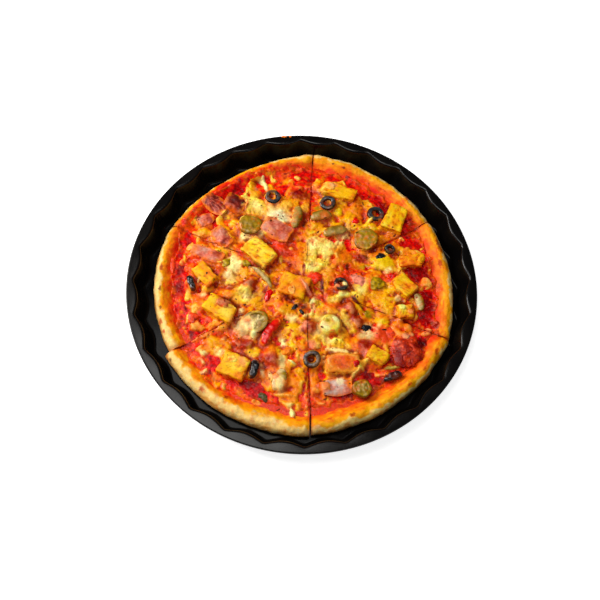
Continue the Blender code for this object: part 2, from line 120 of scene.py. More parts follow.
class Tint(Enum):
    """The colours of the baked food, as they are seen in daylight (red, green and blue from 0 to 255)."""

    WHITE = (255, 242, 196)
    CREAM = (255, 232, 166)
    GREYCREAM = (228, 202, 148)
    PALE = (255, 217, 114)
    PEACH = (252, 186, 100)
    KNOB = (238, 196, 82)
    YELLOW = (255, 192, 40)
    GOLD = (251, 170, 36)
    ORANGE = (245, 136, 24)
    AMBER = (224, 104, 18)
    RUST = (188, 66, 16)
    BLISTER = (148, 44, 8)
    BROWN = (96, 40, 12)
    REDORANGE = (232, 76, 22)
    BRIGHT = (226, 60, 20)
    RED = (200, 51, 18)
    PINKRED = (228, 86, 66)
    CRIMSON = (130, 24, 8)
    DARK = (46, 6, 3)
    PINK = (234, 140, 118)
    OLIVE = (170, 140, 36)
    BLACK = (22, 22, 26)
    SLATE = (84, 74, 48)
    SOOT = (34, 16, 8)
    HERB = (74, 62, 16)
    CRUST = (255, 212, 146)
    CRUST_SHADE = (230, 168, 104)
    GLAZE = (252, 166, 34)
    FLOUR = (255, 234, 186)

    @property
    def linear(self) -> np.ndarray:
        """The colour in linear light, deepened for the sheen that will lie over it."""
        share = np.array(self.value) / 255.0
        light = np.where(share <= 0.04045, share / 12.92, ((share + 0.055) / 1.055) ** 2.4)
        grey = float(light @ np.array([0.3, 0.59, 0.11]))
        return np.clip(grey + (light - grey) * DEPTH_OF_COLOUR, 0.001, 1.0)


# What shows where on the melted surface: tint, middle x and y, half length and half width, turn in degrees,
# strength, rise, and cover (1 cheese, -1 bare sauce, 2 cheese that drapes over the topping below, 0 colour alone)
# The DARK patches are painted shade in gaps and crevices, and the small PINK patches on the blisters are painted
# highlights
FEATURES = (
    # slice 3
    ('RED', -79, 99.5, 12, 7.5, 19, .8, 0, -1), ('RED', -92.5, 73.5, 8.5, 16, 55, .5, 0, -1),
    ('CRIMSON', -78, 70.5, 7.5, 2, 87, .85, 0, -1), ('GOLD', -100, 57, 12, 5, -16, .85, .5, 1),
    ('PALE', -54, 78.5, 12, 11.5, -18, .75, .9, 1), ('AMBER', -67.5, 67, 4.5, 9.5, 28, .6, 0, 0),
    ('CREAM', -27, 68, 12.5, 11.5, 0, .9, 1, 1), ('RUST', -38, 71, 2.5, 3.5, 0, .8, 0, 0),
    ('CREAM', -43, 101, 5.5, 3, -40, .8, 1, 1), ('PINK', -47, 95, 2.5, 3, 0, .7, 0, 0),
    ('PINKRED', -25.5, 109, 7.5, 6.5, 0, .75, 0, -1), ('RED', -6.5, 106.5, 7.5, 8.5, 0, .75, 0, -1),
    ('PEACH', -11.5, 110, 3.5, 3.5, 0, .85, .6, 1), ('CRIMSON', -8.5, 90, 8, 6.5, 0, .8, -0.8, 1),
    ('PEACH', -2, 77.5, 4, 5, 0, .85, 1, 1), ('DARK', -2.5, 64.5, 9, 2, 89, .85, -0.8, 1),
    ('ORANGE', -79.5, 37.5, 11, 4, -23, .6, .2, 1), ('PALE', -46.5, 74, 11.5, 7.5, -56, .9, .8, 1),
    ('WHITE', -23, 65.5, 10, 6.5, -21, .9, .8, 1), ('PEACH', -21.5, 78, 9, 4.5, 4, .8, .5, 1),
    ('CREAM', -51.5, 43.5, 9, 5.5, 19, .9, .7, 1), ('CREAM', -40.5, 45.5, 3.5, 5.5, 0, .8, .6, 1),
    ('GOLD', -54.5, 105.5, 10, 5.5, -6, .8, .6, 1), ('CREAM', -40.5, 100, 2, 8, 19, .8, .9, 1),
    ('GOLD', -77.5, 56.5, 4, 4.5, 0, .8, .4, 2), ('ORANGE', -89.5, 49, 10, 7.5, -11, .8, .5, 1),
    ('GOLD', -90.5, 43.5, 10, 4.5, -11, .7, .5, 1),
    # slice 2
    ('RED', 20, 113, 8.5, 5, -7, .85, 0, -1), ('REDORANGE', 46, 107, 12, 6, -19, .8, 0, -1),
    ('CRIMSON', 41.5, 96, 3.5, 6.5, 5, .8, 0, -1), ('RED', 65.5, 97, 8.5, 11.5, -47, .8, 0, -1),
    ('CRIMSON', 76.5, 89, 9, 4, -52, .7, 0, -1), ('YELLOW', 34.5, 94, 5.5, 7.5, 0, .8, 0, 0),
    ('ORANGE', 14.5, 99, 13, 5.5, -7, .7, .4, 2), ('AMBER', 9, 85.5, 4.5, 8.5, 5, .6, 0, 1),
    ('PEACH', 15.5, 85, 4.5, 4, 0, .7, .3, 1), ('OLIVE', 11.5, 76.5, 6, 3, 0, .75, 0, 1),
    ('KNOB', 27, 74.5, 4.5, 4, 0, .85, .8, 1), ('CREAM', 35, 55, 7, 2, -56, .85, .9, 1),
    ('RED', 44, 68, 2.5, 3, 0, .8, 0, 0), ('PALE', 56, 66.5, 6, 2, 42, .7, .6, 2),
    ('GOLD', 53, 84, 7.5, 5, -30, .7, .4, 1), ('ORANGE', 62.5, 60.5, 9, 5, -41, .6, .2, 1),
    ('DARK', 86, 85.5, 4.5, 2.5, -42, .85, 0, -1), ('CRIMSON', 87, 70, 3.5, 11, 82, .7, 0, -1),
    ('RED', 94, 64.5, 6.5, 9, -47, .85, 0, -1), ('CRIMSON', 91.5, 45.5, 6, 4, -30, .8, 0, -1),
    ('REDORANGE', 100.5, 54.5, 3.5, 4, 0, .8, 0, -1), ('ORANGE', 66, 48.5, 9, 6, 0, .65, .3, 1),
    ('AMBER', 73, 56.5, 4.5, 4, 0, .5, 0, 1), ('PALE', 8.5, 32, 17, 9, 86, .9, 1.3, 1),
    ('YELLOW', 16, 23, 7, 7, 0, .6, .3, 1), ('AMBER', 23.5, 26.5, 9, 6, 0, .75, 0, 1),
    ('PEACH', 32.5, 43, 9, 2.5, 70, .75, .7, 1), ('RUST', 39.5, 40.5, 8, 2, 88, .75, 0, 0),
    ('CRIMSON', 40, 35.5, 3, 4, 65, .8, -0.8, 1), ('CRIMSON', 50, 29.5, 7, 4, -7, .85, -0.8, 1),
    ('DARK', 52.5, 31, 3.5, 2, -7, .7, -0.8, 1), ('AMBER', 64.5, 38.5, 7, 6, 0, .6, .2, 1),
    ('OLIVE', 53.5, 21.5, 6, 3, 13, .7, .2, 1), ('KNOB', 69, 26, 10.5, 6.5, -7, .85, 1.2, 2),
    ('CREAM', 73.5, 19, 4.5, 3, 36, .85, .6, 2), ('PEACH', 63, 25.5, 2.5, 5, 0, .6, .4, 1),
    ('CRIMSON', 64, 20, 2.5, 2, 0, .8, -0.8, 1), ('DARK', 38, 20.5, 1.5, 3, 0, .8, -0.8, 1),
    ('PALE', 18, 35, 21, 11.5, 84, .9, .8, 1), ('CREAM', 7, 41, 8, 6, 74, .6, .3, 1),
    ('PALE', 7.5, 18.5, 9, 8, 0, .8, .6, 1), ('CREAM', 33, 50.5, 11.5, 4.5, 64, .8, .8, 1),
    ('YELLOW', 30.5, 89, 6.5, 7.5, 0, .7, 0, 0), ('PEACH', 12, 97, 5, 3.5, 0, .7, .3, 0),
    ('PINK', 22, 99, 4, 2.5, -6, .5, .2, 0), ('ORANGE', 44, 81, 6, 9, 4, .8, .5, 1),
    ('KNOB', 59, 61.5, 10, 3.5, -6, .8, .6, 1), ('GOLD', 12, 65, 10, 8, 0, .7, .5, 1),
    ('AMBER', 16, 68, 5, 4.5, 0, .6, .2, 0), ('ORANGE', 35.5, 31.5, 10, 7, -16, .7, .3, 1),
    ('REDORANGE', 25.5, 24.5, 4, 4.5, 0, .6, 0, 1), ('BLISTER', 47, 29.5, 6, 3.5, -16, .7, .6, 1),
    # slice 1
    ('RED', 95, 47, 10, 4.5, -1, .85, 0, -1), ('CRIMSON', 98.5, 42.5, 2, 4, -19, .75, 0, -1),
    ('ORANGE', 109.5, 43, 3.5, 9, 15, .7, 0, 0), ('CRIMSON', 101, 19.5, 11, 9, -18, .85, 0, -1),
    ('DARK', 94, 19, 5.5, 3, -35, .85, 0, -1), ('RED', 107, 27, 5, 5, -30, .7, 0, -1),
    ('PEACH', 83, 19, 6, 2.5, -35, .75, .6, 1), ('REDORANGE', 76.5, 13, 8, 3, -7, .85, .2, 1),
    ('PINKRED', 42.5, 11.5, 2.5, 3, 0, .7, 0, 0), ('PEACH', 53, 7, 3.5, 2.5, -18, .7, .3, 1),
    ('ORANGE', 63.5, -4.5, 8, 3.5, 26, .7, .3, 1), ('YELLOW', 74.5, 1.5, 5.5, 5, 55, .75, .3, 1),
    ('CREAM', 82.5, -6.5, 3, 3, 0, .9, .5, 1), ('PEACH', 69, -18, 8.5, 2, -40, .5, .4, 1),
    ('AMBER', 60.5, -12, 5, 3.5, -29, .5, 0, 0), ('OLIVE', 57, -23.5, 5, 3, -34, .8, 0, 1),
    ('DARK', 45, -9, 3.5, 1.5, -48, .85, -0.8, 1), ('DARK', 34, -2, 4.5, 2.5, 15, .8, -0.8, 1),
    ('RED', 114, 10, 4.5, 7.5, 15, .6, 0, -1), ('ORANGE', 107, 9.5, 4.5, 5.5, 0, .85, .6, 1),
    ('PEACH', 107.5, 4.5, 3.5, 2, 25, .7, .3, 1), ('CRIMSON', 109.5, -11, 6.5, 12.5, 80, .85, 0, -1),
    ('RED', 110, -22.5, 5, 5.5, 0, .7, 0, -1), ('DARK', 113.5, -20, 2.5, 5.5, -7, .6, 0, -1),
    ('RED', 104.5, -2, 5, 5, 81, .6, 0, -1), ('DARK', 94, -26, 5, 1, -23, .85, 0, -1),
    ('PALE', 50, .5, 6.5, 7.5, 0, .9, .8, 1), ('PINK', 47.5, 8.5, 7, 3.5, -21, .7, .4, 2),
    ('OLIVE', 65.5, 5, 6.5, 5.5, 0, .6, .4, 2), ('GOLD', 67, -9.5, 12, 8, -21, .85, 1, 1),
    ('YELLOW', 72.5, -15, 7.5, 4.5, -31, .7, .4, 1), ('KNOB', 67.5, 24.5, 7.5, 5.5, 0, .8, .8, 2),
    ('KNOB', 85, 10.5, 4, 2.5, 14, .5, .2, 0), ('PALE', 85.5, -16.5, 5, 4.5, -26, .8, .3, 2),
    ('PINKRED', 93, -20.5, 3.5, 2.5, -16, .8, .2, 2), ('ORANGE', 94.5, 38, 10, 5.5, -6, .7, .4, 1),
    # middle
    ('PALE', -47.5, 39, 7, 4, 21, .75, .6, 1), ('CREAM', -42, 42.5, 3.5, 3, 0, .8, .3, 1),
    ('REDORANGE', -25.5, 37.5, 8, 3.5, -9, .85, .1, 1), ('RUST', -12, 32.5, 7.5, 4.5, -49, .75, .1, 1),
    ('PEACH', -12, 34.5, 2.5, 2, 0, .6, .4, 1), ('PEACH', -20, 23, 1.5, 4, 0, .8, .4, 2),
    ('CRIMSON', -12.5, 18, 3, 5.5, -7, .9, -0.8, 1), ('AMBER', -8.5, 25, 3.5, 8, 4, .6, .2, 1),
    ('ORANGE', -3, 20.5, 3, 8, 4, .7, .6, 1), ('CRIMSON', .5, 14, 1.5, 7, 4, .8, -0.8, 1),
    ('BRIGHT', 8, 9.5, 3.5, 3, 0, .8, 0, 0), ('DARK', -47.5, 14.5, 5.5, 3, -23, .8, -0.8, 1),
    ('DARK', -32, 13.5, 5.5, 2, -41, .85, -0.8, 1), ('DARK', -35, 6.5, 6.5, 1, -48, .85, -0.8, 1),
    ('BLISTER', -42.5, -1, 4.5, 6, 0, .75, 1.2, 2), ('PALE', -61.5, 1.5, 7, 8.5, 0, .8, .8, 1),
    ('YELLOW', -52, -17.5, 11, 5.5, 4, .65, .6, 1), ('AMBER', -38, -3.5, 2.5, 6.5, 4, .6, 0, 1),
    ('GREYCREAM', -50, -27.5, 2.5, 3.5, -28, .8, .5, 1), ('CRIMSON', -30.5, -6.5, 6.5, 2.5, 67, .85, -0.8, 1),
    ('DARK', -35.5, -20, 8, 2.5, 62, .85, -0.8, 1), ('ORANGE', -21, -22, 10, 4.5, 4, .7, .3, 1),
    ('REDORANGE', -16.5, -21.5, 2.5, 3.5, -58, .7, 0, 1), ('AMBER', -9, -8.5, 4.5, 5.5, 0, .55, 0, 2),
    ('DARK', -6, 7, 1.5, 1.5, 0, .95, 0, 2), ('BROWN', 1, -19.5, 7, 3, -4, .85, -0.8, 1),
    ('DARK', -7.5, -17, 2.5, 1, 0, .9, -0.8, 1), ('DARK', 7.5, -14, 1, 3, -18, .9, -0.8, 1),
    ('DARK', -4, -24.5, 1.5, 3.5, 26, .85, -0.8, 1), ('CREAM', 11, -20.5, 9, 2, 73, .85, 1, 1),
    ('CRIMSON', 7, -31.5, 5, 1.5, 10, .85, -0.8, 1), ('CREAM', 5.5, -27.5, 4.5, 2, 26, .6, .5, 1),
    ('CRIMSON', 17.5, 0, 8.5, 1.5, 91, .85, -0.8, 1), ('RUST', 22.5, -6.5, 3.5, 7.5, 4, .7, 0, 1),
    ('CRIMSON', 26.5, 2.5, 2.5, 4.5, 74, .7, -0.8, 1), ('PALE', 29.5, -11.5, 8, 4.5, 15, .75, .8, 1),
    ('BLISTER', 43, -19.5, 9.5, 3, -55, .9, 1.4, 2), ('PALE', 39.5, -27.5, 2.5, 4, 36, .75, .5, 1),
    ('ORANGE', -2, -2.5, 7.5, 5.5, 0, .7, .2, 0), ('YELLOW', 1.5, -13.5, 5, 3.5, 0, .8, .1, 0),
    ('GOLD', -16.5, 1, 5, 5.5, 0, .8, 0, 0), ('PINK', 4, -4, 10, 1.5, -51, .85, .8, 2),
    ('CRIMSON', 17, -1, 2, 8, 4, .9, -0.8, 1), ('DARK', 18, -2, 1.5, 6.5, 4, .8, -0.8, 1),
    ('GREYCREAM', 36.5, 2, 5, 2.5, -26, .7, .3, 2), ('PINK', 30.5, -0.5, 3.5, 2.5, 0, .6, .2, 2),
    ('CREAM', 9.5, -16, 2.5, 6.5, -16, .9, .8, 1), ('KNOB', 15.5, -17, 5, 4.5, 0, .8, .5, 1),
    ('GOLD', -10.5, -24.5, 6.5, 5.5, 0, .7, .4, 1), ('CREAM', -6, -31.5, 6, 3.5, -6, .7, .5, 1),
    ('YELLOW', -8, -38, 7.5, 3.5, -6, .6, .3, 1), ('CREAM', -12.5, -54, 3.5, 5.5, 24, .8, .6, 1),
    ('KNOB', -6.5, -56, 3.5, 5.5, 0, .7, .4, 1), ('RUST', -10.5, -59, 4, 3.5, 0, .8, .2, 1),
    # slice 4
    ('CRIMSON', -112, 28, 12, 4, 89, .8, 0, -1), ('RED', -109.5, 36, 5.5, 6, 0, .6, 0, -1),
    ('CRIMSON', -105.5, -5.5, 16.5, 4, -75, .8, 0, -1), ('PINKRED', -101, 8, 3, 4, 0, .8, .2, 1),
    ('RED', -114, -2.5, 4.5, 6.5, 0, .6, 0, -1), ('PINKRED', -105, -19, 4, 7.5, -74, .7, 0, -1),
    ('RED', -100, -35, 9, 5, -55, .8, 0, -1), ('CRIMSON', -98, -39.5, 8, 3.5, -51, .6, 0, -1),
    ('GOLD', -104, 19.5, 7, 1.5, -78, .85, .6, 1), ('ORANGE', -100.5, 30.5, 5, 6, 0, .7, .3, 1),
    ('AMBER', -97, 10.5, 2.5, 4, 0, .6, .1, 1), ('ORANGE', -81.5, 16.5, 4, 4, 0, .8, .4, 1),
    ('RUST', -74, 6.5, 3.5, 6.5, -38, .8, 0, 1), ('DARK', -79, 7.5, 10, 1, -38, .8, -0.8, 1),
    ('KNOB', -75.5, 17, 2.5, 2, 0, .6, .5, 1), ('CREAM', -88.5, -3, 1, 2.5, -17, .9, .5, 2),
    ('YELLOW', -81, -9.5, 7, 4, -17, .75, .5, 1), ('CRIMSON', -87, -11, 2, 4, 0, .85, 0, -1),
    ('PEACH', -97, -18, 3, 7.5, -7, .7, .5, 1), ('AMBER', -86, -23, 4, 6, 0, .75, .3, 1),
    ('CREAM', -83, -16, 3.5, 2, 26, .6, .3, 1), ('DARK', -73, -14, 2.5, 1, 0, .9, -0.8, 1),
    ('RUST', -70.5, -9.5, 2.5, 2.5, 0, .7, 0, 1), ('ORANGE', -61.5, -38.5, 8.5, 2, -1, .7, .2, 1),
    ('CREAM', -61, 13, 7.5, 10, 24, .9, .8, 1), ('GREYCREAM', -64.5, 5, 5, 5.5, 0, .8, .5, 1),
    ('GOLD', -48, 5.5, 10, 7, -16, .8, .6, 1), ('BLISTER', -46, -5, 7.5, 6.5, 34, 1, 1.8, 2),
    ('BLISTER', -61.5, -7, 5, 3, 24, .8, 1, 1), ('PALE', -46, -15, 12, 6.5, -16, .85, .6, 1),
    ('GOLD', -38, -20, 6.5, 7.5, 0, .7, .4, 1), ('BLISTER', -64.5, -23.5, 9, 6, -6, 1, 1.6, 2),
    ('PALE', -62, -33, 6.5, 3.5, -16, .8, 0, 0), ('YELLOW', -78, -25, 6, 6.5, 0, .6, 0, 0),
    ('ORANGE', -79.5, -43.5, 11.5, 4.5, 14, .8, .4, 1), ('PEACH', -91, -33.5, 4, 8, -21, .7, .5, 1),
    # slice 5
    ('ORANGE', -78, -51.5, 12.5, 2.5, 32, .85, .8, 1), ('PEACH', -63.5, -44, 5, 2, 31, .6, .3, 1),
    ('REDORANGE', -88, -63, 6.5, 3, 15, .85, 0, -1), ('PINKRED', -85, -69, 5, 2.5, -12, .85, .1, -1),
    ('CREAM', -76.5, -68, 4.5, 2.5, -12, .75, .4, 1), ('PINK', -78.5, -74.5, 4, 3.5, -27, .6, .2, 1),
    ('CRIMSON', -70.5, -73, 8.5, 2, -41, .85, 0, -1), ('PINKRED', -83, -79, 7.5, 5, -31, .75, .1, -1),
    ('PINK', -74.5, -83.5, 2, 5.5, -55, .6, .3, 1), ('CRIMSON', -69.5, -85, 7, 1.5, -63, .9, 0, -1),
    ('BRIGHT', -66.5, -73.5, 3, 5, -56, .75, 0, -1), ('RED', -54.5, -91, 11.5, 2, -14, .85, 0, -1),
    ('OLIVE', -73.5, -55.5, 3.5, 3.5, 0, .65, .3, 1), ('AMBER', -78, -58.5, 3.5, 3.5, 0, .7, .1, 1),
    ('BLISTER', -62, -53.5, 2.5, 2.5, 0, .75, .8, 1), ('GOLD', -57.5, -61.5, 4, 6, 0, .6, .2, 1),
    ('CRIMSON', -42.5, -67.5, 7.5, 1.5, -47, .7, -0.8, 1), ('PINK', -36, -73, 3.5, 1.5, -17, .8, .4, 1),
    ('GREYCREAM', -28.5, -78.5, 2.5, 6.5, 15, .75, .5, 1), ('AMBER', -26.5, -57.5, 6.5, 7, 0, .5, .2, 1),
    ('CREAM', -5, -70, 5, 1, -27, .75, .8, 1), ('PEACH', -0.5, -66, 3, 4.5, 0, .6, .5, 1),
    ('RUST', -4.5, -79.5, 1.5, 5, 4, .6, 0, 1), ('CREAM', -20.5, -84, 5, 1.5, -66, .6, .5, 1),
    ('PEACH', -9.5, -99, 13.5, 1, 1, .6, .5, 1), ('CREAM', -1.5, -112, 3, 7.5, 19, .75, .9, 1),
    ('ORANGE', -6, -104.5, 7, 6, 0, .5, .3, 1), ('CRIMSON', -38.5, -91.5, 10.5, 4.5, -19, .85, 0, -1),
    ('RED', -26.5, -99.5, 13, 6, -22, .85, 0, -1), ('PINKRED', -37.5, -109, 7.5, 2, -26, .7, 0, -1),
    ('PINKRED', -25.5, -111, 9.5, 1.5, -1, .6, 0, -1), ('ORANGE', -30.5, -106, 5, 2.5, -16, .8, .3, 1),
    ('RED', -11, -109.5, 5, 4, -37, .8, 0, -1), ('CRIMSON', 8, -83, 5, 1.5, 84, .85, -0.8, 1),
    ('CRIMSON', 7, -93, 7.5, 1.5, 89, .6, 0, -1), ('GREYCREAM', -44, -43.5, 12, 10, -16, .95, .5, 2),
    ('CREAM', -38.5, -49.5, 5, 3.5, -16, .9, .6, 2), ('AMBER', -45, -37.5, 3.5, 2.5, 0, .6, 0, 2),
    ('CREAM', -64.5, -66.5, 5, 4.5, 0, .95, .8, 1), ('GOLD', -68.5, -60.5, 6.5, 7.5, 0, .7, .4, 1),
    ('PEACH', -52, -74, 6.5, 5.5, -11, .6, .4, 2), ('PINK', -44.5, -75, 3, 5.5, 14, .5, .2, 0),
    ('YELLOW', -55, -82.5, 7.5, 3, -8, .8, 0, 0), ('BLISTER', -45.5, -58, 9, 4.5, -8, 1, 1.4, 2),
    ('KNOB', -37.5, -64.5, 6, 4.5, 0, .7, .5, 1), ('BLISTER', -20.5, -70, 6.5, 5.5, 0, 1, 1.4, 1),
    ('CREAM', -12, -73, 3.5, 11, 4, .7, .5, 1), ('GREYCREAM', -12.5, -90, 5, 8, -6, .9, .6, 2),
    ('RUST', -16, -84, 2.5, 2.5, 0, .6, 0, 2), ('ORANGE', -2, -90, 7.5, 11, 4, .85, .8, 1),
    # slice 6
    ('CREAM', 16, -52.5, 2.5, 2, 0, .7, .3, 1), ('RUST', 20.5, -52.5, 6, 1.5, -53, .8, 0, 0),
    ('YELLOW', 46, -39, 4, 5, -39, .8, .5, 1), ('PALE', 32, -49.5, 8.5, 3, -9, .75, .7, 1),
    ('GREYCREAM', 54.5, -42.5, 7.5, 4, 4, .85, .9, 1), ('CREAM', 66, -34.5, 7.5, 2, 64, .85, 1, 1),
    ('OLIVE', 60, -45, 4.5, 2, 25, .6, .2, 1), ('CREAM', 22, -64.5, 3.5, 6, -17, .75, .6, 1),
    ('CREAM', 50.5, -75.5, 7.5, 2, 39, .85, .8, 2), ('CRIMSON', 49, -68.5, 4, 2, 62, .9, -0.6, 2),
    ('CRIMSON', 53.5, -74.5, 7.5, 3, 27, .9, 0, -1), ('RED', 21, -80.5, 4, 2.5, -17, .7, 0, -1),
    ('ORANGE', 13.5, -81.5, 5, 10, 4, .7, .5, 1), ('AMBER', 20.5, -98.5, 7, 6, 0, .7, .3, 1),
    ('PEACH', 18.5, -93, 4, 2.5, 0, .6, .3, 1), ('CRIMSON', 26.5, -95, 5, 2, -1, .75, 0, -1),
    ('CRIMSON', 43, -96.5, 6.5, 5, 39, .9, 0, -1), ('RED', 46.5, -103, 14.5, 3.5, 12, .8, 0, -1),
    ('CRIMSON', 68, -84, 7.5, 7.5, 44, .85, 0, -1), ('RED', 72, -93.5, 7.5, 5, 39, .8, 0, -1),
    ('REDORANGE', 69, -75, 5, 2.5, -12, .8, .2, 1), ('OLIVE', 78, -69.5, 7.5, 2, 12, .8, .4, 1),
    ('CRIMSON', 82.5, -64.5, 6, 3.5, 14, .8, 0, -1), ('PINK', 93.5, -40, 3.5, 4, -18, .75, .3, 1),
    ('REDORANGE', 108, -36, 5, 3.5, 25, .75, .1, 1), ('CRIMSON', 105.5, -49, 12, 4, 64, .9, 0, -1),
    ('DARK', 111.5, -47.5, 3.5, 7.5, -23, .75, 0, -1), ('PINKRED', 102.5, -57, 1.5, 8, -26, .55, .3, -1),
    ('RED', 95.5, -69, 6, 3.5, 39, .75, 0, -1), ('CRIMSON', 79, -53.5, 4, 2.5, -28, .85, 0, -1),
    ('PEACH', 72, -47.5, 2.5, 5.5, 0, .55, .3, 1), ('CRIMSON', 71, -86.5, 9.5, 7, 34, 1, 0, -1),
    ('DARK', 73.5, -84, 6, 4.5, 34, .7, 0, -1), ('CRIMSON', 52.5, -100.5, 13.5, 4.5, 14, 1, 0, -1),
    ('CRIMSON', 101, -47, 7, 5, 64, 1, 0, -1), ('DARK', 102, -46.5, 4.5, 3.5, 64, .8, 0, -1),
    ('BLISTER', 38, -18.5, 8.5, 5, -11, 1, 1.8, 2), ('BLISTER', 46, -29, 11, 4.5, -64, 1, 1.8, 2),
    ('PALE', 40, -32, 12.5, 3.5, -56, .9, 1.2, 2), ('ORANGE', 36.5, -39.5, 10, 3.5, -56, .85, .6, 1),
    ('PINK', 35, -38.5, 2.5, 3.5, 0, .6, .3, 1), ('PALE', 35.5, -7, 11, 3.5, 19, .85, 1, 1),
    ('DARK', 48.5, -14, 9, 1.5, -46, .8, -0.8, 1), ('PALE', 22, -38, 17.5, 16.5, 0, 1, .8, 2),
    ('CREAM', 15.5, -42.5, 7, 5.5, 34, .7, .6, 2), ('KNOB', 29, -42.5, 6, 4.5, 24, .7, .4, 2),
    ('GREYCREAM', 20.5, -39, 6, 4.5, 0, .8, .4, 2), ('OLIVE', 23.5, -34, 2.5, 3.5, 64, .8, .2, 2),
    ('CREAM', 29, -31, 4, 4.5, 0, .7, .4, 2), ('CREAM', 21.5, -41.5, 4, 2.5, 0, .8, .5, 1),
    ('PALE', 26, -49, 13.5, 5.5, -16, .85, .7, 1), ('KNOB', 36.5, -53, 10, 3.5, -16, .7, .5, 1),
    ('BLISTER', 9.5, -38, 6, 6.5, 24, .9, 1, 1), ('PINK', 4, -38, 2.5, 5.5, -26, .6, .2, 1),
    ('YELLOW', 13, -48.5, 4, 4.5, 0, .8, .4, 1), ('PINK', 11.5, -53, 3.5, 4.5, 0, .6, .4, 1),
    ('PEACH', 35.5, -68.5, 19, 13, 4, .7, .3, 2), ('AMBER', 35, -68.5, 14, 8, 4, .85, .5, 2),
    ('RUST', 37.5, -73.5, 7.5, 2.5, -6, .6, 0, 2), ('CREAM', 34.5, -58, 14, 2, -6, .8, .8, 2),
    # The WHITE patch at 35.5, -84.5 is a painted highlight on the onion under it
    ('PEACH', 53, -70.5, 7, 3.5, 54, .8, .6, 2), ('WHITE', 35.5, -84.5, 3.5, 3.5, 0, .8, .2, 0),
    ('ORANGE', 43.5, -86.5, 4, 3.5, -16, .8, .3, 0), ('RUST', 23.5, -90.5, 6, 5.5, 0, .7, .2, 2),
    ('GREYCREAM', 59.5, -39.5, 9.5, 6.5, 34, .85, .7, 1), ('WHITE', 61, -36.5, 3.5, 2.5, 0, .9, .4, 1),
    ('KNOB', 71.5, -29.5, 6.5, 2.5, 14, .8, .5, 1), ('BLISTER', 55.5, -51.5, 6.5, 4.5, -6, .9, 1.2, 1),
    ('PINK', 54.5, -58.5, 3, 3.5, 0, .7, .3, 1), ('PINKRED', 70.5, -40.5, 9, 9, 0, .9, 1.2, 2),
    ('ORANGE', 86, -34, 10.5, 9, -26, .95, 1.2, 2), ('PINK', 81.5, -48.5, 5, 2.5, 24, .5, .2, 0),
    ('PINK', 89.5, -42, 4, 3.5, 0, .7, .2, 2),
)

# Mounds of melted cheese: x, y, radius and rise
MOUNDS = (
    (-64.0, -18.0, 15.0, 3.6), (-46.0, -4.0, 17.0, 3.0), (-28.0, 34.0, 14.0, 2.2), (-30.0, 70.0, 17.0, 2.4),
    (-44.0, -57.0, 12.0, 3.4), (-19.0, -66.0, 13.0, 4.2), (-18.0, -22.0, 12.0, 2.0), (17.0, 34.0, 20.0, 3.2),
    (40.0, 62.0, 13.0, 2.4), (24.0, -24.0, 17.0, 2.8), (45.0, -22.0, 14.0, 4.6), (52.0, 5.0, 17.0, 3.4),
    (73.0, 24.0, 13.0, 2.6), (56.0, -48.0, 14.0, 3.6), (68.0, -34.0, 12.0, 2.4), (12.0, -50.0, 12.0, 2.2),
    (92.0, 8.0, 10.0, 1.8),
)


def smoothstep(low: float, high: float, value: np.ndarray) -> np.ndarray:
    """A smooth step from 0 at low to 1 at high."""
    share = np.clip((value - low) / (high - low), 0.0, 1.0)
    return share * share * (3.0 - 2.0 * share)


def mix(first: np.ndarray, second: np.ndarray, share: np.ndarray) -> np.ndarray:
    """Mixes colours point by point.

    Args:
        first: Colours, with the three channels last.
        second: One colour or as many colours.
        share: How much of the second colour each point has.

    Returns:
        The mixed colours.
    """
    return first + (second - first) * share[..., None]


def glaze(colour: np.ndarray, *layers: tuple) -> np.ndarray:
    """Lays tints over colours, one after another.

    Args:
        colour: Colours, with the three channels last.
        layers: Pairs of a Tint and how much of it each point gets.

    Returns:
        The glazed colours.
    """
    for tint, share in layers:
        colour = mix(colour, tint.linear, share)
    return colour


def ramp(value: np.ndarray, stops: tuple) -> np.ndarray:
    """Reads a colour for each value off a row of stops.

    Args:
        value: The values.
        stops: Pairs of a value and a Tint, in rising order.

    Returns:
        Linear colours, with the three channels last.
    """
    places = [place for place, _ in stops]
    colours = np.array([tint.linear for _, tint in stops])
    return np.stack([np.interp(value, places, colours[:, channel]) for channel in range(3)], axis=-1)


def solid_noise(points: np.ndarray, size: float, seed: float) -> np.ndarray:
    """Smooth noise in space, between about -1 and 1.

    Args:
        points: Places in millimetres.
        size: The size of its lumps in millimetres.
        seed: A shift that makes one field differ from another.

    Returns:
        One value for each place.
    """
    shift = Vector((seed * 7.31, seed * 3.17, seed * 5.71))
    return np.array([noise.noise(Vector(point) / size + shift) for point in points]) * 2.0


def polar(x: np.ndarray, y: np.ndarray) -> tuple:
    """The distances of places from the point where the cuts meet, and their angles round it in degrees."""
    from_x, from_y = x - CUT_CENTRE[0], y - CUT_CENTRE[1]
    return np.hypot(from_x, from_y), np.degrees(np.arctan2(from_y, from_x)) % 360.0


def turned(from_x: np.ndarray, from_y: np.ndarray, turn: float) -> tuple:
    """How far places lie along a line that is turned by an angle in radians, and how far to its left."""
    along = from_x * math.cos(turn) + from_y * math.sin(turn)
    return along, from_y * math.cos(turn) - from_x * math.sin(turn)


def slice_angles(index: int) -> tuple:
    """The angles of a slice's first and second cut in degrees, the second one the greater."""
    start, end = CUTS[index][0], CUTS[(index + 1) % len(CUTS)][0]
    return start, end + 360.0 if end < start else end


def rim_between(index: int, across: np.ndarray) -> np.ndarray:
    """The radius of a slice's rim, as a curve through its three radii.

    Args:
        index: The slice, counted from 0.
        across: From 0 at its first cut to 1 at its second.

    Returns:
        Radii in millimetres.
    """
    first, middle, last = RIM_RADII[index]
    radius = first * (1 - across) * (1 - 2 * across) + 4 * middle * across * (1 - across)
    return radius + last * across * (2 * across - 1)


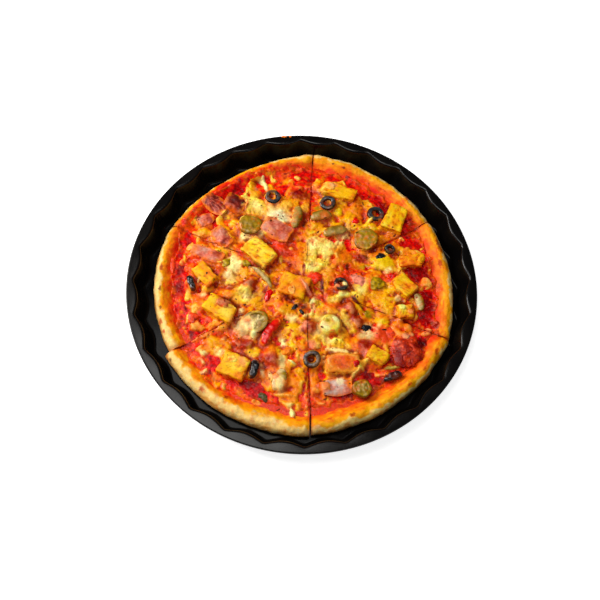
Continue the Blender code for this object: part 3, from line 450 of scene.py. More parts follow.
def rim_radius(angle: np.ndarray) -> np.ndarray:
    """The radius of the rim's outer edge round the point where the cuts meet.

    Args:
        angle: Angles in degrees.

    Returns:
        Radii in millimetres.
    """
    radius = np.zeros_like(angle)
    for index in range(len(CUTS)):
        start, end = slice_angles(index)
        across = ((angle - start) % 360.0) / (end - start)
        radius = np.where(across <= 1.0, rim_between(index, across), radius)
    return radius


def cut_opening(cut: int, radius: np.ndarray) -> np.ndarray:
    """How far the melted cheese leaves a cut open, from 0 where it is shut to 1 where it is open.

    Args:
        cut: The cut, counted from 0.
        radius: Distances along it from the point where the cuts meet.

    Returns:
        One share for each distance.
    """
    opening = np.zeros_like(radius)
    for inner, outer, share in CUT_OPENINGS[cut]:
        begun = smoothstep(inner - OPENING_FADE, inner + OPENING_FADE, radius)
        ended = smoothstep(outer - OPENING_FADE, outer + OPENING_FADE, radius)
        opening = np.maximum(opening, share * (begun * (1.0 - ended)))
    return opening


def cut_shade(x: np.ndarray, y: np.ndarray) -> np.ndarray:
    """How near each place is to an open cut, where the edges are darker.

    Args:
        x: Places in millimetres.
        y: Places in millimetres.

    Returns:
        One at an open cut, down to zero a few millimetres away.
    """
    shade = np.zeros_like(x)
    for cut, (turn, _) in enumerate(CUTS):
        along, aside = turned(x - CUT_CENTRE[0], y - CUT_CENTRE[1], math.radians(turn))
        shade = np.maximum(shade, cut_opening(cut, along) * np.exp(-((aside / CUT_SHADE_REACH) ** 2)))
    return shade


class Surface:
    """The square sheet of samples on which the heights and colours of the melted surface are worked out."""

    # Half the sheet's width, the distance between its samples and the least half size of an oval on it
    HALF = 138.0
    CELL = 0.6
    FINEST = 0.8

    def __init__(self) -> None:
        """Lays out the samples and each one's place round the pizza."""
        count = int(round(2 * self.HALF / self.CELL)) + 1
        line = np.linspace(-self.HALF, self.HALF, count)
        self.x, self.y = np.meshgrid(line, line)
        waves = np.fft.fftfreq(count, self.CELL)
        self.waves = waves[:, None] ** 2 + waves[None, :] ** 2
        radius, self.angle = polar(self.x, self.y)
        self.inwards = rim_radius(self.angle) - radius

    def blur(self, values: np.ndarray, size: float) -> np.ndarray:
        """Softens a field over the given size in millimetres."""
        return np.fft.ifft2(np.fft.fft2(values) * np.exp(-2.0 * (math.pi * size) ** 2 * self.waves)).real

    def noise(self, seed: int, size: float) -> np.ndarray:
        """A smooth random field with lumps of the given size and a spread of 1."""
        draw = np.random.default_rng(seed)
        values = self.blur(draw.standard_normal(self.x.shape), size * 0.45)
        return values / values.std()

    def warped(self, values: np.ndarray, shift_x: np.ndarray | float, shift_y: np.ndarray | float) -> np.ndarray:
        """A field read at places that are shifted, by two other fields or by a fixed step."""
        return self.sample(values, self.x + shift_x, self.y + shift_y)

    def sample(self, values: np.ndarray, x: np.ndarray, y: np.ndarray) -> np.ndarray:
        """Reads a field between its samples.

        Args:
            values: A field of numbers or colours.
            x: Places from left to right in millimetres.
            y: Places from front to back in millimetres.

        Returns:
            The field's value at each place.
        """
        limit = self.x.shape[0] - 1.001
        column = np.clip((np.asarray(x) + self.HALF) / self.CELL, 0.0, limit)
        row = np.clip((np.asarray(y) + self.HALF) / self.CELL, 0.0, limit)
        left, low = column.astype(int), row.astype(int)
        right_share, high_share = column - left, row - low
        if values.ndim == 3:
            right_share, high_share = right_share[..., None], high_share[..., None]
        lower = values[low, left] * (1 - right_share) + values[low, left + 1] * right_share
        upper = values[low + 1, left] * (1 - right_share) + values[low + 1, left + 1] * right_share
        return lower * (1 - high_share) + upper * high_share

    def oval(self, x: float, y: float, length: float, width: float, turn: float) -> np.ndarray:
        """The distance from an oval's middle at every sample, 1 on its outline."""
        along, aside = turned(self.x - x, self.y - y, math.radians(turn))
        return np.hypot(along / max(length, self.FINEST), aside / max(width, self.FINEST))


@dataclass
class Melt:
    """The heights and colours of the sauce and the melted cheese.

    Attributes:
        surface: The sheet of samples.
        toppings: The pieces that the cheese lies against or drapes over.
        cheese_edge: How far in from the rim's edge the cheese begins.
        cheese_relief: The lumps of the cheese, as sizes and heights.
        sauce_relief: The lumps of the sauce, as sizes and heights.
        thick_tints: The tints that stand for a thick pool of cheese.
        rise_limit: The height that patches lying over one another come near and never pass.
        mound_share: The share of a mound's listed rise that it keeps.
        skin_reach: How far the skin over a draped topping reaches out beyond it.
        highest: The greatest height of the cheese.
        fields: Every field that has been worked out, by its name.
    """

    surface: Surface
    toppings: list
    cheese_edge: float = 27.0
    cheese_relief: tuple = ((11.0, 0.70), (5.6, 0.28), (2.2, 0.08))
    sauce_relief: tuple = ((5.0, 0.20), (2.2, 0.11), (1.1, 0.07))
    thick_tints: tuple = ("WHITE", "CREAM", "GREYCREAM", "PALE", "PEACH", "YELLOW")
    rise_limit: float = 4.5
    mound_share: float = 0.62
    skin_reach: float = 1.4
    highest: float = 21.5
    fields: dict = field(default_factory=dict)

    def work_out(self) -> None:
        """Works out every field in order."""
        self.read_features()
        self.find_toppings()
        self.raise_sauce()
        self.raise_cheese()
        self.colour_sauce()
        self.colour_cheese()

    def relief(self, octaves: tuple, seed: int) -> np.ndarray:
        """Adds up noise of several sizes, each given as its size and its height."""
        total = np.zeros_like(self.surface.x)
        for step, (size, height) in enumerate(octaves):
            total += height * self.surface.noise(seed + step, size)
        return total

    def read_features(self) -> None:
        """Turns the list of features into fields of cover, rise, drape and the shapes that tint later."""
        sheet = self.surface
        ragged = 0.14 * sheet.noise(11, 4.6) + 0.05 * sheet.noise(12, 1.6)
        edge_noise = sheet.noise(13, 12.0) * 5.0 + sheet.noise(14, 5.0) * 2.5
        cover = smoothstep(self.cheese_edge - 5.0, self.cheese_edge + 5.0, sheet.inwards + edge_noise)
        rise = np.zeros_like(cover)
        drape = np.zeros_like(cover)
        calm = np.zeros_like(cover)
        pools = np.zeros_like(cover)
        domes = np.zeros_like(cover)
        self.shapes = []
        for tint, x, y, length, width, turn, strength, lift, kind in FEATURES:
            size = min(length, width)
            away = sheet.oval(x, y, length, width, turn) + ragged * min(1.0, 3.0 / max(size, 1.0) + 0.5)
            thick = tint in self.thick_tints
            dome = tint == "BLISTER"
            # A patch fades out across its outline; thick cheese and domes also have a halo, large pale ones a core
            shape = 1.0 - smoothstep(0.35 if thick or dome or kind < 0 else 0.55, 1.28, away)
            halo = (1.0 - smoothstep(0.8, 1.5, away)) * (0.9 if dome else 0.55 if thick and size > 2.5 else 0.0)
            core = (1.0 - smoothstep(0.0, 0.8, away)) * (0.6 if tint == "PALE" and size > 3.0 else 0.0)
            self.shapes.append((Tint[tint], shape * min(1.0, 1.25 * strength), halo * strength, core, kind))
            calm = np.maximum(calm, shape)
            if thick:
                pools = np.maximum(pools, shape)
            if kind > 0:
                cover = np.maximum(cover, shape)
            elif kind < 0:
                cover = cover * (1.0 - shape)
            if kind == 2:
                drape = np.maximum(drape, shape)
                domes = np.maximum(domes, dome * lift * np.clip(1.0 - away * away, 0.0, 1.0))
            # Domes and thick cheese stand higher than their listed rise
            body = (1.0 if dome else 0.4 if thick else 0.0) if kind > 0 else 0.0
            rise += (lift + body) * np.clip(1.0 - away * away * 0.8, 0.0, 1.0)
        for x, y, radius, lift in MOUNDS:
            away = np.clip(sheet.oval(x, y, radius, radius, 0.0), 0.0, 1.0)
            rise = np.maximum(rise, self.mound_share * lift * (1.0 - away * away) ** 2)
        rise = self.rise_limit * np.tanh(rise / self.rise_limit)
        self.fields.update(cover=cover, rise=rise, drape=drape, calm=calm, pools=pools, domes=domes)

    def find_toppings(self) -> None:
        """Measures the top of whatever topping lies at each sample, by looking straight down on it."""
        sheet = self.surface
        top = np.zeros_like(sheet.x)
        for topping in self.toppings:
            points, tree = object_points(topping), face_tree(topping)
            low, high = points.min(0), points.max(0)
            inside = (sheet.x >= low[0]) & (sheet.x <= high[0]) & (sheet.y >= low[1]) & (sheet.y <= high[1])
            for row, column in zip(*np.nonzero(inside)):
                hit = look_down(tree, sheet.x[row, column], sheet.y[row, column])[0]
                if hit is not None:
                    top[row, column] = max(top[row, column], hit.z)
        self.fields.update(topping_top=top, topping=(top > 0.0).astype(float))

    def raise_sauce(self) -> None:
        """The sauce lies on the bread, thins out at its edge and is lumpy and wet."""
        sheet = self.surface
        angles, edges = zip(*SAUCE_EDGES)
        edge = np.interp(sheet.angle, angles, edges)
        edge = edge + 1.1 * sheet.noise(21, 6.0) + 0.6 * sheet.noise(22, 2.5)
        bread = np.interp(sheet.inwards, *zip(*BREAD_LINE))
        body = smoothstep(-0.4, 2.6, sheet.inwards - edge)
        lumps = self.relief(self.sauce_relief, 31)
        height = bread - 0.7 + (SAUCE_THICKNESS + 0.7) * body + lumps * body
        self.fields.update(sauce=height, sauce_edge=edge, bread=bread, sauce_body=body, sauce_lumps=lumps)

    def raise_cheese(self) -> None:
        """The cheese lies on the sauce, rises against the toppings and drapes over those that it covers."""
        sheet, fields = self.surface, self.fields
        cover = fields["cover"] + 0.15 * sheet.noise(41, 4.0) + 0.06 * sheet.noise(42, 1.6) - 0.5
        present = smoothstep(-0.05, 0.2, cover)
        # The creases run where a swirled noise field crosses zero, but not through the listed patches
        swirl_x, swirl_y = 2.4 * sheet.noise(71, 6.0), 2.4 * sheet.noise(72, 6.0)
        curds = np.abs(sheet.warped(sheet.noise(78, 6.5), swirl_x, swirl_y))
        creases = (1.0 - smoothstep(0.0, 0.34, curds)) * smoothstep(-0.4, 0.9, sheet.noise(79, 12.0))
        creases *= 1.0 - 0.85 * fields["calm"]
        lumps = self.relief(self.cheese_relief, 51) - 0.4 * creases
        height = fields["sauce"] + np.clip(3.6 * cover, -0.9, 1.5) + (fields["rise"] + lumps) * present
        # The cheese climbs a little against the toppings and stays below the top of those it doesn't cover
        beside = np.clip(sheet.blur(fields["topping"], 1.6), 0.0, 0.5) * 2.0
        height += 1.9 * beside * present
        top = fields["topping_top"]
        height = np.where(top > 0.0, np.minimum(height, top - 1.0), height)
        # Where it covers a topping it is a skin over that topping's top, spread out and softened
        spread = top
        for turn in np.linspace(0.0, 2.0 * math.pi, 8, endpoint=False):
            shift_x, shift_y = self.skin_reach * math.cos(turn), self.skin_reach * math.sin(turn)
            spread = np.maximum(spread, sheet.warped(top, shift_x, shift_y))
        skin = sheet.blur(np.maximum(spread, height), 1.1) + 0.4 + 0.35 * lumps + 0.9 * fields["domes"]
        verge = fields["topping"] * smoothstep(0.93, 0.6, sheet.blur(fields["topping"], 1.5))
        lap = verge * smoothstep(0.0, 0.9, sheet.noise(43, 5.0)) * smoothstep(0.1, 0.5, cover)
        over = smoothstep(0.2, 0.9, np.maximum(fields["drape"], lap))
        height = np.minimum(height + over * np.maximum(skin - height, 0.0), self.highest)
        crest = height - sheet.blur(height, 2.6)
        self.fields.update(cheese=height, cheese_cover=cover, present=present, crest=crest, creases=creases)
        self.fields.update(swirl_x=swirl_x, swirl_y=swirl_y, beside=beside, lap=lap)

    def colour_sauce(self) -> None:
        """Deep red in the hollows and brighter on the lumps, which is painted shade and painted highlight, and orange
        where it runs out on the bread.
        """
        sheet, fields = self.surface, self.fields
        lumps = fields["sauce_lumps"]
        crest = lumps - sheet.blur(lumps, 2.0)
        # Streaks that run along the rim, as the sauce was spread
        around = np.radians(sheet.angle) * 105.0
        streaks = sheet.sample(sheet.noise(65, 2.2), np.mod(around, 240.0) * 0.35 - 60.0, sheet.inwards * 1.6)
        # The crest term paints highlights on the lumps and shade in the hollows
        value = 0.47 + 0.17 * sheet.noise(61, 7.0) + 0.09 * sheet.noise(62, 2.4) + 0.10 * streaks + 0.4 * crest
        colour = ramp(value, (
            (0.12, Tint.CRIMSON), (0.32, Tint.RED), (0.48, Tint.BRIGHT), (0.60, Tint.REDORANGE), (0.74, Tint.AMBER),
            (0.92, Tint.ORANGE), (1.1, Tint.GOLD),
        ))
        patchy = 0.45 + 0.35 * smoothstep(-0.9, 0.7, sheet.warped(sheet.noise(67, 2.6), 1.5 * streaks, 1.5 * lumps))
        for tint, shape, _, _, kind in self.shapes:
            if kind == -1:
                colour = mix(colour, tint.linear, patchy * shape)
        ragged = 1.6 * sheet.noise(63, 3.0) + 0.8 * sheet.noise(66, 1.3)
        thin = 1.0 - smoothstep(0.0, 5.0, sheet.inwards - fields["sauce_edge"] + ragged)
        colour = glaze(colour, (Tint.AMBER, 0.75 * thin), (Tint.BLISTER, 0.6 * cut_shade(sheet.x, sheet.y)))
        colour *= (1.0 + 0.20 * np.clip(sheet.noise(64, 1.2), -2, 2))[..., None]
        fields["sauce_colour"] = np.clip(colour, 0.0, 1.0)

    def colour_cheese(self) -> None:
        """Pale on the mounds, golden and oily between them, red where it is thin, browned where it blistered, with
        painted light on the crests and painted shade in the hollows and at the toppings' feet.
        """
        sheet, fields = self.surface, self.fields
        crest, cover = fields["crest"], fields["cheese_cover"]
        swirl_x, swirl_y = fields["swirl_x"], fields["swirl_y"]
        streaks = sheet.warped(sheet.noise(73, 6.5), swirl_x, swirl_y)
        value = 0.52 + 0.12 * sheet.noise(74, 14.0) + 0.09 * streaks + 0.05 * sheet.noise(70, 2.0) + 0.12 * crest
        colour = ramp(value, (
            (0.10, Tint.RUST), (0.22, Tint.REDORANGE), (0.33, Tint.AMBER), (0.48, Tint.ORANGE), (0.66, Tint.GOLD),
            (0.84, Tint.YELLOW), (1.0, Tint.PALE),
        ))
        film = np.zeros_like(colour)
        film_share = np.zeros_like(crest)
        speckle = 0.80 + 0.20 * smoothstep(-0.9, 0.4, sheet.noise(75, 1.9))
        for tint, shape, halo, core, kind in self.shapes:
            if kind >= 0:
                around = Tint.RUST if tint is Tint.BLISTER else Tint.GOLD
                share = np.clip(shape * speckle, 0.0, 1.0)
                colour = glaze(colour, (around, halo), (tint, share), (Tint.CREAM, core))
                if kind != 1:
                    film = mix(film, tint.linear, share)
                    film_share = film_share + (1.0 - film_share) * share
        # Painted shade in the hollows, weaker in the pools of thick cheese, and a painted shadow at the toppings' feet
        hollow = 0.8 * (1.0 - 0.85 * fields["pools"])
        at_foot = fields["beside"] * (1.0 - fields["drape"]) * smoothstep(-0.8, 1.0, sheet.noise(80, 3.0))
        # A dark line where the toppings keep the light off, at their lower right
        lee = sheet.warped(sheet.blur(fields["topping"], 0.7), -1.3, 1.3)
        lee *= (1.0 - fields["topping"]) * (1.0 - fields["drape"])
        colour = glaze(
            colour, (Tint.RUST, 0.5 * fields["creases"]), (Tint.BLISTER, 0.7 * cut_shade(sheet.x, sheet.y)),
            (Tint.RUST, hollow * smoothstep(0.12, 0.8, -crest)), (Tint.BROWN, hollow * smoothstep(0.55, 1.3, -crest)),
            (Tint.CREAM, 0.14 * smoothstep(0.3, 1.2, crest)), (Tint.RUST, 0.75 * at_foot), (Tint.BLISTER, 0.85 * lee),
        )
        # Painted light on the crests and painted shade in the hollows
        colour *= (1.0 + 0.36 * np.clip(crest, -1.0, 1.0))[..., None]
        oil = smoothstep(1.0, 1.7, sheet.warped(sheet.noise(76, 2.0), swirl_x, swirl_y))
        thin = 1.0 - smoothstep(0.0, 0.35, cover)
        colour = glaze(colour, (Tint.AMBER, 0.45 * oil), (Tint.REDORANGE, 0.7 * thin))
        colour *= (1.0 + 0.10 * np.clip(sheet.noise(77, 1.1), -2, 2))[..., None]
        stain = 0.75 * fields["lap"] + 0.4 * smoothstep(0.5, 1.5, sheet.noise(44, 3.6))
        film = film + colour * (stain * (1.0 - film_share))[..., None]
        film_share = film_share + (1.0 - film_share) * stain
        fields.update(cheese_colour=np.clip(colour, 0.0, 1.0), film=film, film_share=film_share)


def deselect() -> None:
    """Leaves nothing selected, in object mode."""
    if bpy.context.object is not None and bpy.context.object.mode != "OBJECT":
        bpy.ops.object.mode_set(mode="OBJECT")
    bpy.ops.object.select_all(action="DESELECT")


def activate(obj: bpy.types.Object) -> None:
    """Selects one object alone and makes it the active one."""
    deselect()
    obj.select_set(True)
    bpy.context.view_layer.objects.active = obj


def named(name: str) -> bpy.types.Object:
    """Names the primitive that was just added, and its mesh, and returns it."""
    obj = bpy.context.object
    obj.name = name
    obj.data.name = name
    return obj


def object_points(obj: bpy.types.Object) -> np.ndarray:
    """The places of an object's vertices, in millimetres."""
    flat = np.zeros(len(obj.data.vertices) * 3)
    obj.data.vertices.foreach_get("co", flat)
    return flat.reshape(-1, 3) / MM


def face_tree(obj: bpy.types.Object) -> BVHTree:
    """An object's faces in millimetres, sorted for looking down on them."""
    faces = [list(face.vertices) for face in obj.data.polygons]
    return BVHTree.FromPolygons(object_points(obj).tolist(), faces)


def look_down(tree: BVHTree, x: float, y: float) -> tuple:
    """The highest place of a piece's faces below a point, and the face's normal there, or None twice."""
    return tree.ray_cast(Vector((x, y, LOOK_FROM)), DOWN)[:2]


def place_points(obj: bpy.types.Object, points: np.ndarray) -> None:
    """Moves an object's vertices to places given in millimetres."""
    obj.data.vertices.foreach_set("co", (np.asarray(points) * MM).ravel())
    obj.data.update()


def point_normals(obj: bpy.types.Object) -> np.ndarray:
    """The outward directions at an object's vertices."""
    flat = np.zeros(len(obj.data.vertices) * 3)
    obj.data.vertices.foreach_get("normal", flat)
    return flat.reshape(-1, 3)


def add_grid(name: str, points: np.ndarray) -> bpy.types.Object:
    """Adds a grid and draws its rows and columns out to the given places.

    Args:
        name: The new piece's name.
        points: Places in millimetres, as rows, columns and three coordinates.

    Returns:
        The new object.
    """
    rows, columns = points.shape[:2]
    deselect()
    bpy.ops.mesh.primitive_grid_add(x_subdivisions=columns - 1, y_subdivisions=rows - 1, size=1.0)
    obj = named(name)
    flat = object_points(obj) * MM
    column = np.rint((flat[:, 0] + 0.5) * (columns - 1)).astype(int)
    row = np.rint((flat[:, 1] + 0.5) * (rows - 1)).astype(int)
    place_points(obj, points[row, column])
    return obj


def close_shape(obj: bpy.types.Object) -> None:
    """Merges doubled points, fills open ends and turns every face outwards."""
    activate(obj)
    bpy.ops.object.mode_set(mode="EDIT")
    bpy.ops.mesh.select_all(action="SELECT")
    bpy.ops.mesh.remove_doubles(threshold=1e-6)
    bpy.ops.mesh.select_all(action="SELECT")
    bpy.ops.mesh.fill_holes(sides=0)
    bpy.ops.mesh.select_all(action="SELECT")
    bpy.ops.mesh.normals_make_consistent(inside=False)
    bpy.ops.object.mode_set(mode="OBJECT")


def extrude_down(obj: bpy.types.Object, bottom: float) -> None:
    """Draws the edge of a sheet down to a flat underside, which makes it a closed body.

    Args:
        obj: The sheet.
        bottom: The height of the underside in millimetres.
    """
    count = len(obj.data.vertices)
    activate(obj)
    bpy.ops.object.mode_set(mode="EDIT")
    bpy.ops.mesh.select_mode(type="EDGE")
    bpy.ops.mesh.select_all(action="DESELECT")
    bpy.ops.mesh.select_non_manifold()
    bpy.ops.mesh.extrude_region_move(TRANSFORM_OT_translate={"value": (0.0, 0.0, -MM)})
    bpy.ops.object.mode_set(mode="OBJECT")
    points = object_points(obj)
    points[count:, 2] = bottom
    place_points(obj, points)
    close_shape(obj)


def modify(obj: bpy.types.Object, kind: str, **values: object) -> None:
    """Gives an object a modifier, sets its values and applies it.

    Args:
        obj: The object.
        kind: The modifier's type.
        values: The modifier's settings.
    """
    activate(obj)
    bpy.ops.object.modifier_add(type=kind)
    modifier = obj.modifiers[-1]
    for key, value in values.items():
        setattr(modifier, key, value)
    bpy.ops.object.modifier_apply(modifier=modifier.name)


def smooth(obj: bpy.types.Object, degrees: float) -> None:
    """Shades an object smoothly except across sharp edges."""
    activate(obj)
    bpy.ops.object.shade_smooth_by_angle(angle=math.radians(degrees))


def paint(obj: bpy.types.Object, colours: np.ndarray) -> None:
    """Stores a linear colour at every vertex, under the name tint."""
    layer = obj.data.attributes.new("tint", "FLOAT_COLOR", "POINT")
    values = np.ones((len(obj.data.vertices), 4), np.float32)
    values[:, :3] = np.clip(colours, 0.0, 1.0)
    layer.data.foreach_set("color", values.ravel())


class NodeTree:
    """A short way to build a material's nodes."""

    def __init__(self, name: str) -> None:
        """Starts a material with one Principled shader."""
        self.material = bpy.data.materials.new(name)
        self.material.use_nodes = True
        self.nodes = self.material.node_tree.nodes
        self.links = self.material.node_tree.links
        self.shader = self.nodes["Principled BSDF"]

    def add(self, kind: str, **values: object) -> bpy.types.Node:
        """Adds a node and sets its properties or inputs.

        Args:
            kind: The node's type, without ShaderNode.
            values: Properties or, for names that are inputs, values of those inputs.

        Returns:
            The new node.
        """
        node = self.nodes.new("ShaderNode" + kind)
        for key, value in values.items():
            label = key.replace("_", " ").title()
            if hasattr(node, key):
                setattr(node, key, value)
            else:
                node.inputs[label].default_value = value
        return node

    @staticmethod
    def fill(node: bpy.types.Node, values: dict) -> None:
        """Sets a node's inputs by their names."""
        for name, value in values.items():
            node.inputs[name].default_value = value

    def link(self, source: bpy.types.NodeSocket, target: bpy.types.NodeSocket) -> None:
        """Joins two sockets."""
        self.links.new(source, target)

    def noise(self, scale: float, detail: float = 3.0, roughness: float = 0.5) -> bpy.types.NodeSocket:
        """Noise in object space, scale being its lumps in each metre."""
        place = self.add("TexCoord")
        texture = self.add("TexNoise", scale=scale, detail=detail, roughness=roughness)
        self.link(place.outputs["Object"], texture.inputs["Vector"])
        return texture.outputs["Fac"]

    def remap(self, value: bpy.types.NodeSocket, low: float, high: float) -> bpy.types.NodeSocket:
        """Spreads a noise value between two numbers."""
        node = self.add("MapRange")
        self.fill(node, {"From Min": 0.3, "From Max": 0.7, "To Min": low, "To Max": high})
        self.link(value, node.inputs["Value"])
        return node.outputs["Result"]

    def bump(self, *layers: tuple) -> None:
        """Adds bumps one over another, each given as its height field and its depth in metres."""
        normal = None
        for height, depth in layers:
            node = self.add("Bump", strength=1.0, distance=depth)
            self.link(height, node.inputs["Height"])
            if normal is not None:
                self.link(normal, node.inputs["Normal"])
            normal = node.outputs["Normal"]
        self.link(normal, self.shader.inputs["Normal"])


@dataclass(frozen=True)
class FoodFinish:
    """A finish that takes its colour from the painted tint and adds grain, wetness and small bumps.

    Attributes:
        name: The material's name.
        gloss: The least and greatest roughness.
        grain: The size of the finest bumps in millimetres.
        depth: The depth of the bumps in millimetres.
        variation: How much the grain lightens and darkens the tint.
        coat: The strength of the oily film on top.
        glow: The share of light that enters the surface and comes out close by.
        specular: The strength of the surface's mirror reflection.
    """

    name: str
    gloss: tuple = (0.3, 0.5)
    grain: float = 0.8
    depth: float = 0.12
    variation: float = 0.18
    coat: float = 0.0
    glow: float = 0.0
    specular: float = 0.3

    def material(self) -> bpy.types.Material:
        """Builds the material."""
        tree = NodeTree(self.name)
        tint = tree.add("Attribute", attribute_name="tint")
        fine = tree.noise(1000.0 / self.grain, 4.0, 0.6)
        coarse = tree.noise(260.0 / self.grain, 3.0)
        shade = tree.add("Mix", data_type="RGBA", blend_type="MULTIPLY")
        shade.inputs["Factor"].default_value = 1.0
        tree.link(tint.outputs["Color"], shade.inputs["A"])
        light = tree.remap(fine, 1.0 - self.variation, 1.0 + self.variation)
        tree.link(light, shade.inputs["B"])
        tree.link(shade.outputs["Result"], tree.shader.inputs["Base Color"])
        tree.link(tree.remap(coarse, *self.gloss), tree.shader.inputs["Roughness"])
        tree.bump((coarse, self.depth * 1.6 * MM), (fine, self.depth * MM))
        tree.fill(tree.shader, {
            "IOR": 1.42, "Specular IOR Level": self.specular, "Coat Weight": self.coat, "Coat Roughness": 0.12,
            "Subsurface Weight": self.glow, "Subsurface Radius": (1.0, 0.45, 0.2), "Subsurface Scale": 1.6 * MM,
        })
        return tree.material


@dataclass(frozen=True)
class EnamelFinish:
    """Black enamel on pressed steel: smooth and glossy, with faint mottling and a little baked-on haze."""

    name: str = "black_enamel"
    colour: tuple = (0.0018, 0.0017, 0.0019)
    haze: tuple = (0.0042, 0.0030, 0.0025)
    gloss: tuple = (0.17, 0.28)
    specular: float = 0.27

    def material(self) -> bpy.types.Material:
        """Builds the material."""
        tree = NodeTree(self.name)
        haze = tree.noise(38.0, 5.0, 0.62)
        peel = tree.noise(1400.0, 3.0)
        colours = tree.add("Mix", data_type="RGBA")
        tree.fill(colours, {"A": (*self.colour, 1.0), "B": (*self.haze, 1.0)})
        tree.link(tree.remap(haze, 0.0, 1.0), colours.inputs["Factor"])
        tree.link(colours.outputs["Result"], tree.shader.inputs["Base Color"])
        tree.link(tree.remap(haze, *self.gloss), tree.shader.inputs["Roughness"])
        tree.bump((peel, 0.012 * MM))
        tree.fill(tree.shader, {"IOR": 1.45, "Specular IOR Level": self.specular})
        return tree.material


@dataclass(frozen=True)
class TableFinish:
    """A plain white table top with the faintest tone."""

    name: str = "white_table"
    glow: float = 0.78

    def material(self) -> bpy.types.Material:
        """Builds the material."""
        tree = NodeTree(self.name)
        tone = tree.add("Mix", data_type="RGBA")
        tree.fill(tone, {"A": (0.90, 0.90, 0.90, 1.0), "B": (0.94, 0.94, 0.935, 1.0)})
        tree.link(tree.remap(tree.noise(6.0), 0.0, 1.0), tone.inputs["Factor"])
        tree.link(tone.outputs["Result"], tree.shader.inputs["Base Color"])
        white = (1.0, 1.0, 1.0, 1.0)
        tree.fill(tree.shader, {"Roughness": 0.6, "Emission Color": white, "Emission Strength": self.glow})
        return tree.material


class Finish(Enum):
    """The finishes of the part, by the record's material slot."""

    PAN = ("pan", EnamelFinish())
    # The inside's copy of the enamel reflects less, which paints in the shade that the pizza and the wall cast there
    PAN_INSIDE = ("pan", EnamelFinish("black_enamel_inside", gloss=(0.10, 0.22), specular=0.10))
    BREAD = ("bread", FoodFinish("baked_bread", (0.42, 0.66), 1.0, 0.18, 0.15, specular=0.22))
    SAUCE = ("sauce", FoodFinish("tomato_sauce", (0.12, 0.42), 1.1, 0.32, 0.22, specular=0.22))
    CHEESE = ("cheese", FoodFinish("melted_cheese", (0.14, 0.46), 1.1, 0.24, 0.18, glow=0.04, specular=0.30))
    PANEER = ("paneer", FoodFinish("baked_paneer", (0.32, 0.60), 1.0, 0.20, 0.20, glow=0.04, specular=0.22))
    JALAPENO = ("jalapeno", FoodFinish("pickled_jalapeno", (0.20, 0.42), 0.7, 0.10, 0.18, specular=0.4))
    OLIVE = ("olive", FoodFinish("black_olive", (0.14, 0.30), 0.6, 0.05, 0.2, specular=0.5))
    ONION = ("onion", FoodFinish("baked_onion", (0.24, 0.46), 0.8, 0.10, 0.16, specular=0.35))
    PEPPER = ("pepper", FoodFinish("red_pepper", (0.14, 0.34), 0.8, 0.10, 0.16, specular=0.5))
    HERBS = ("cheese", FoodFinish("dried_herbs", (0.4, 0.7), 0.5, 0.05, 0.3, specular=0.2))
    TOMATO = ("tomato", FoodFinish("baked_tomato", (0.18, 0.46), 1.0, 0.26, 0.30, specular=0.4))

    def dress(self, obj: bpy.types.Object) -> None:
        """Gives an object this finish and its body."""
        obj.data.materials.clear()
        self.add_to(obj)
        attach(obj, "root")

    def add_to(self, obj: bpy.types.Object) -> None:
        """Gives an object this finish after those that it has."""
        finish = self.value[1]
        if finish.name not in bpy.data.materials:
            finish.material()
        obj.data.materials.append(bpy.data.materials[finish.name])


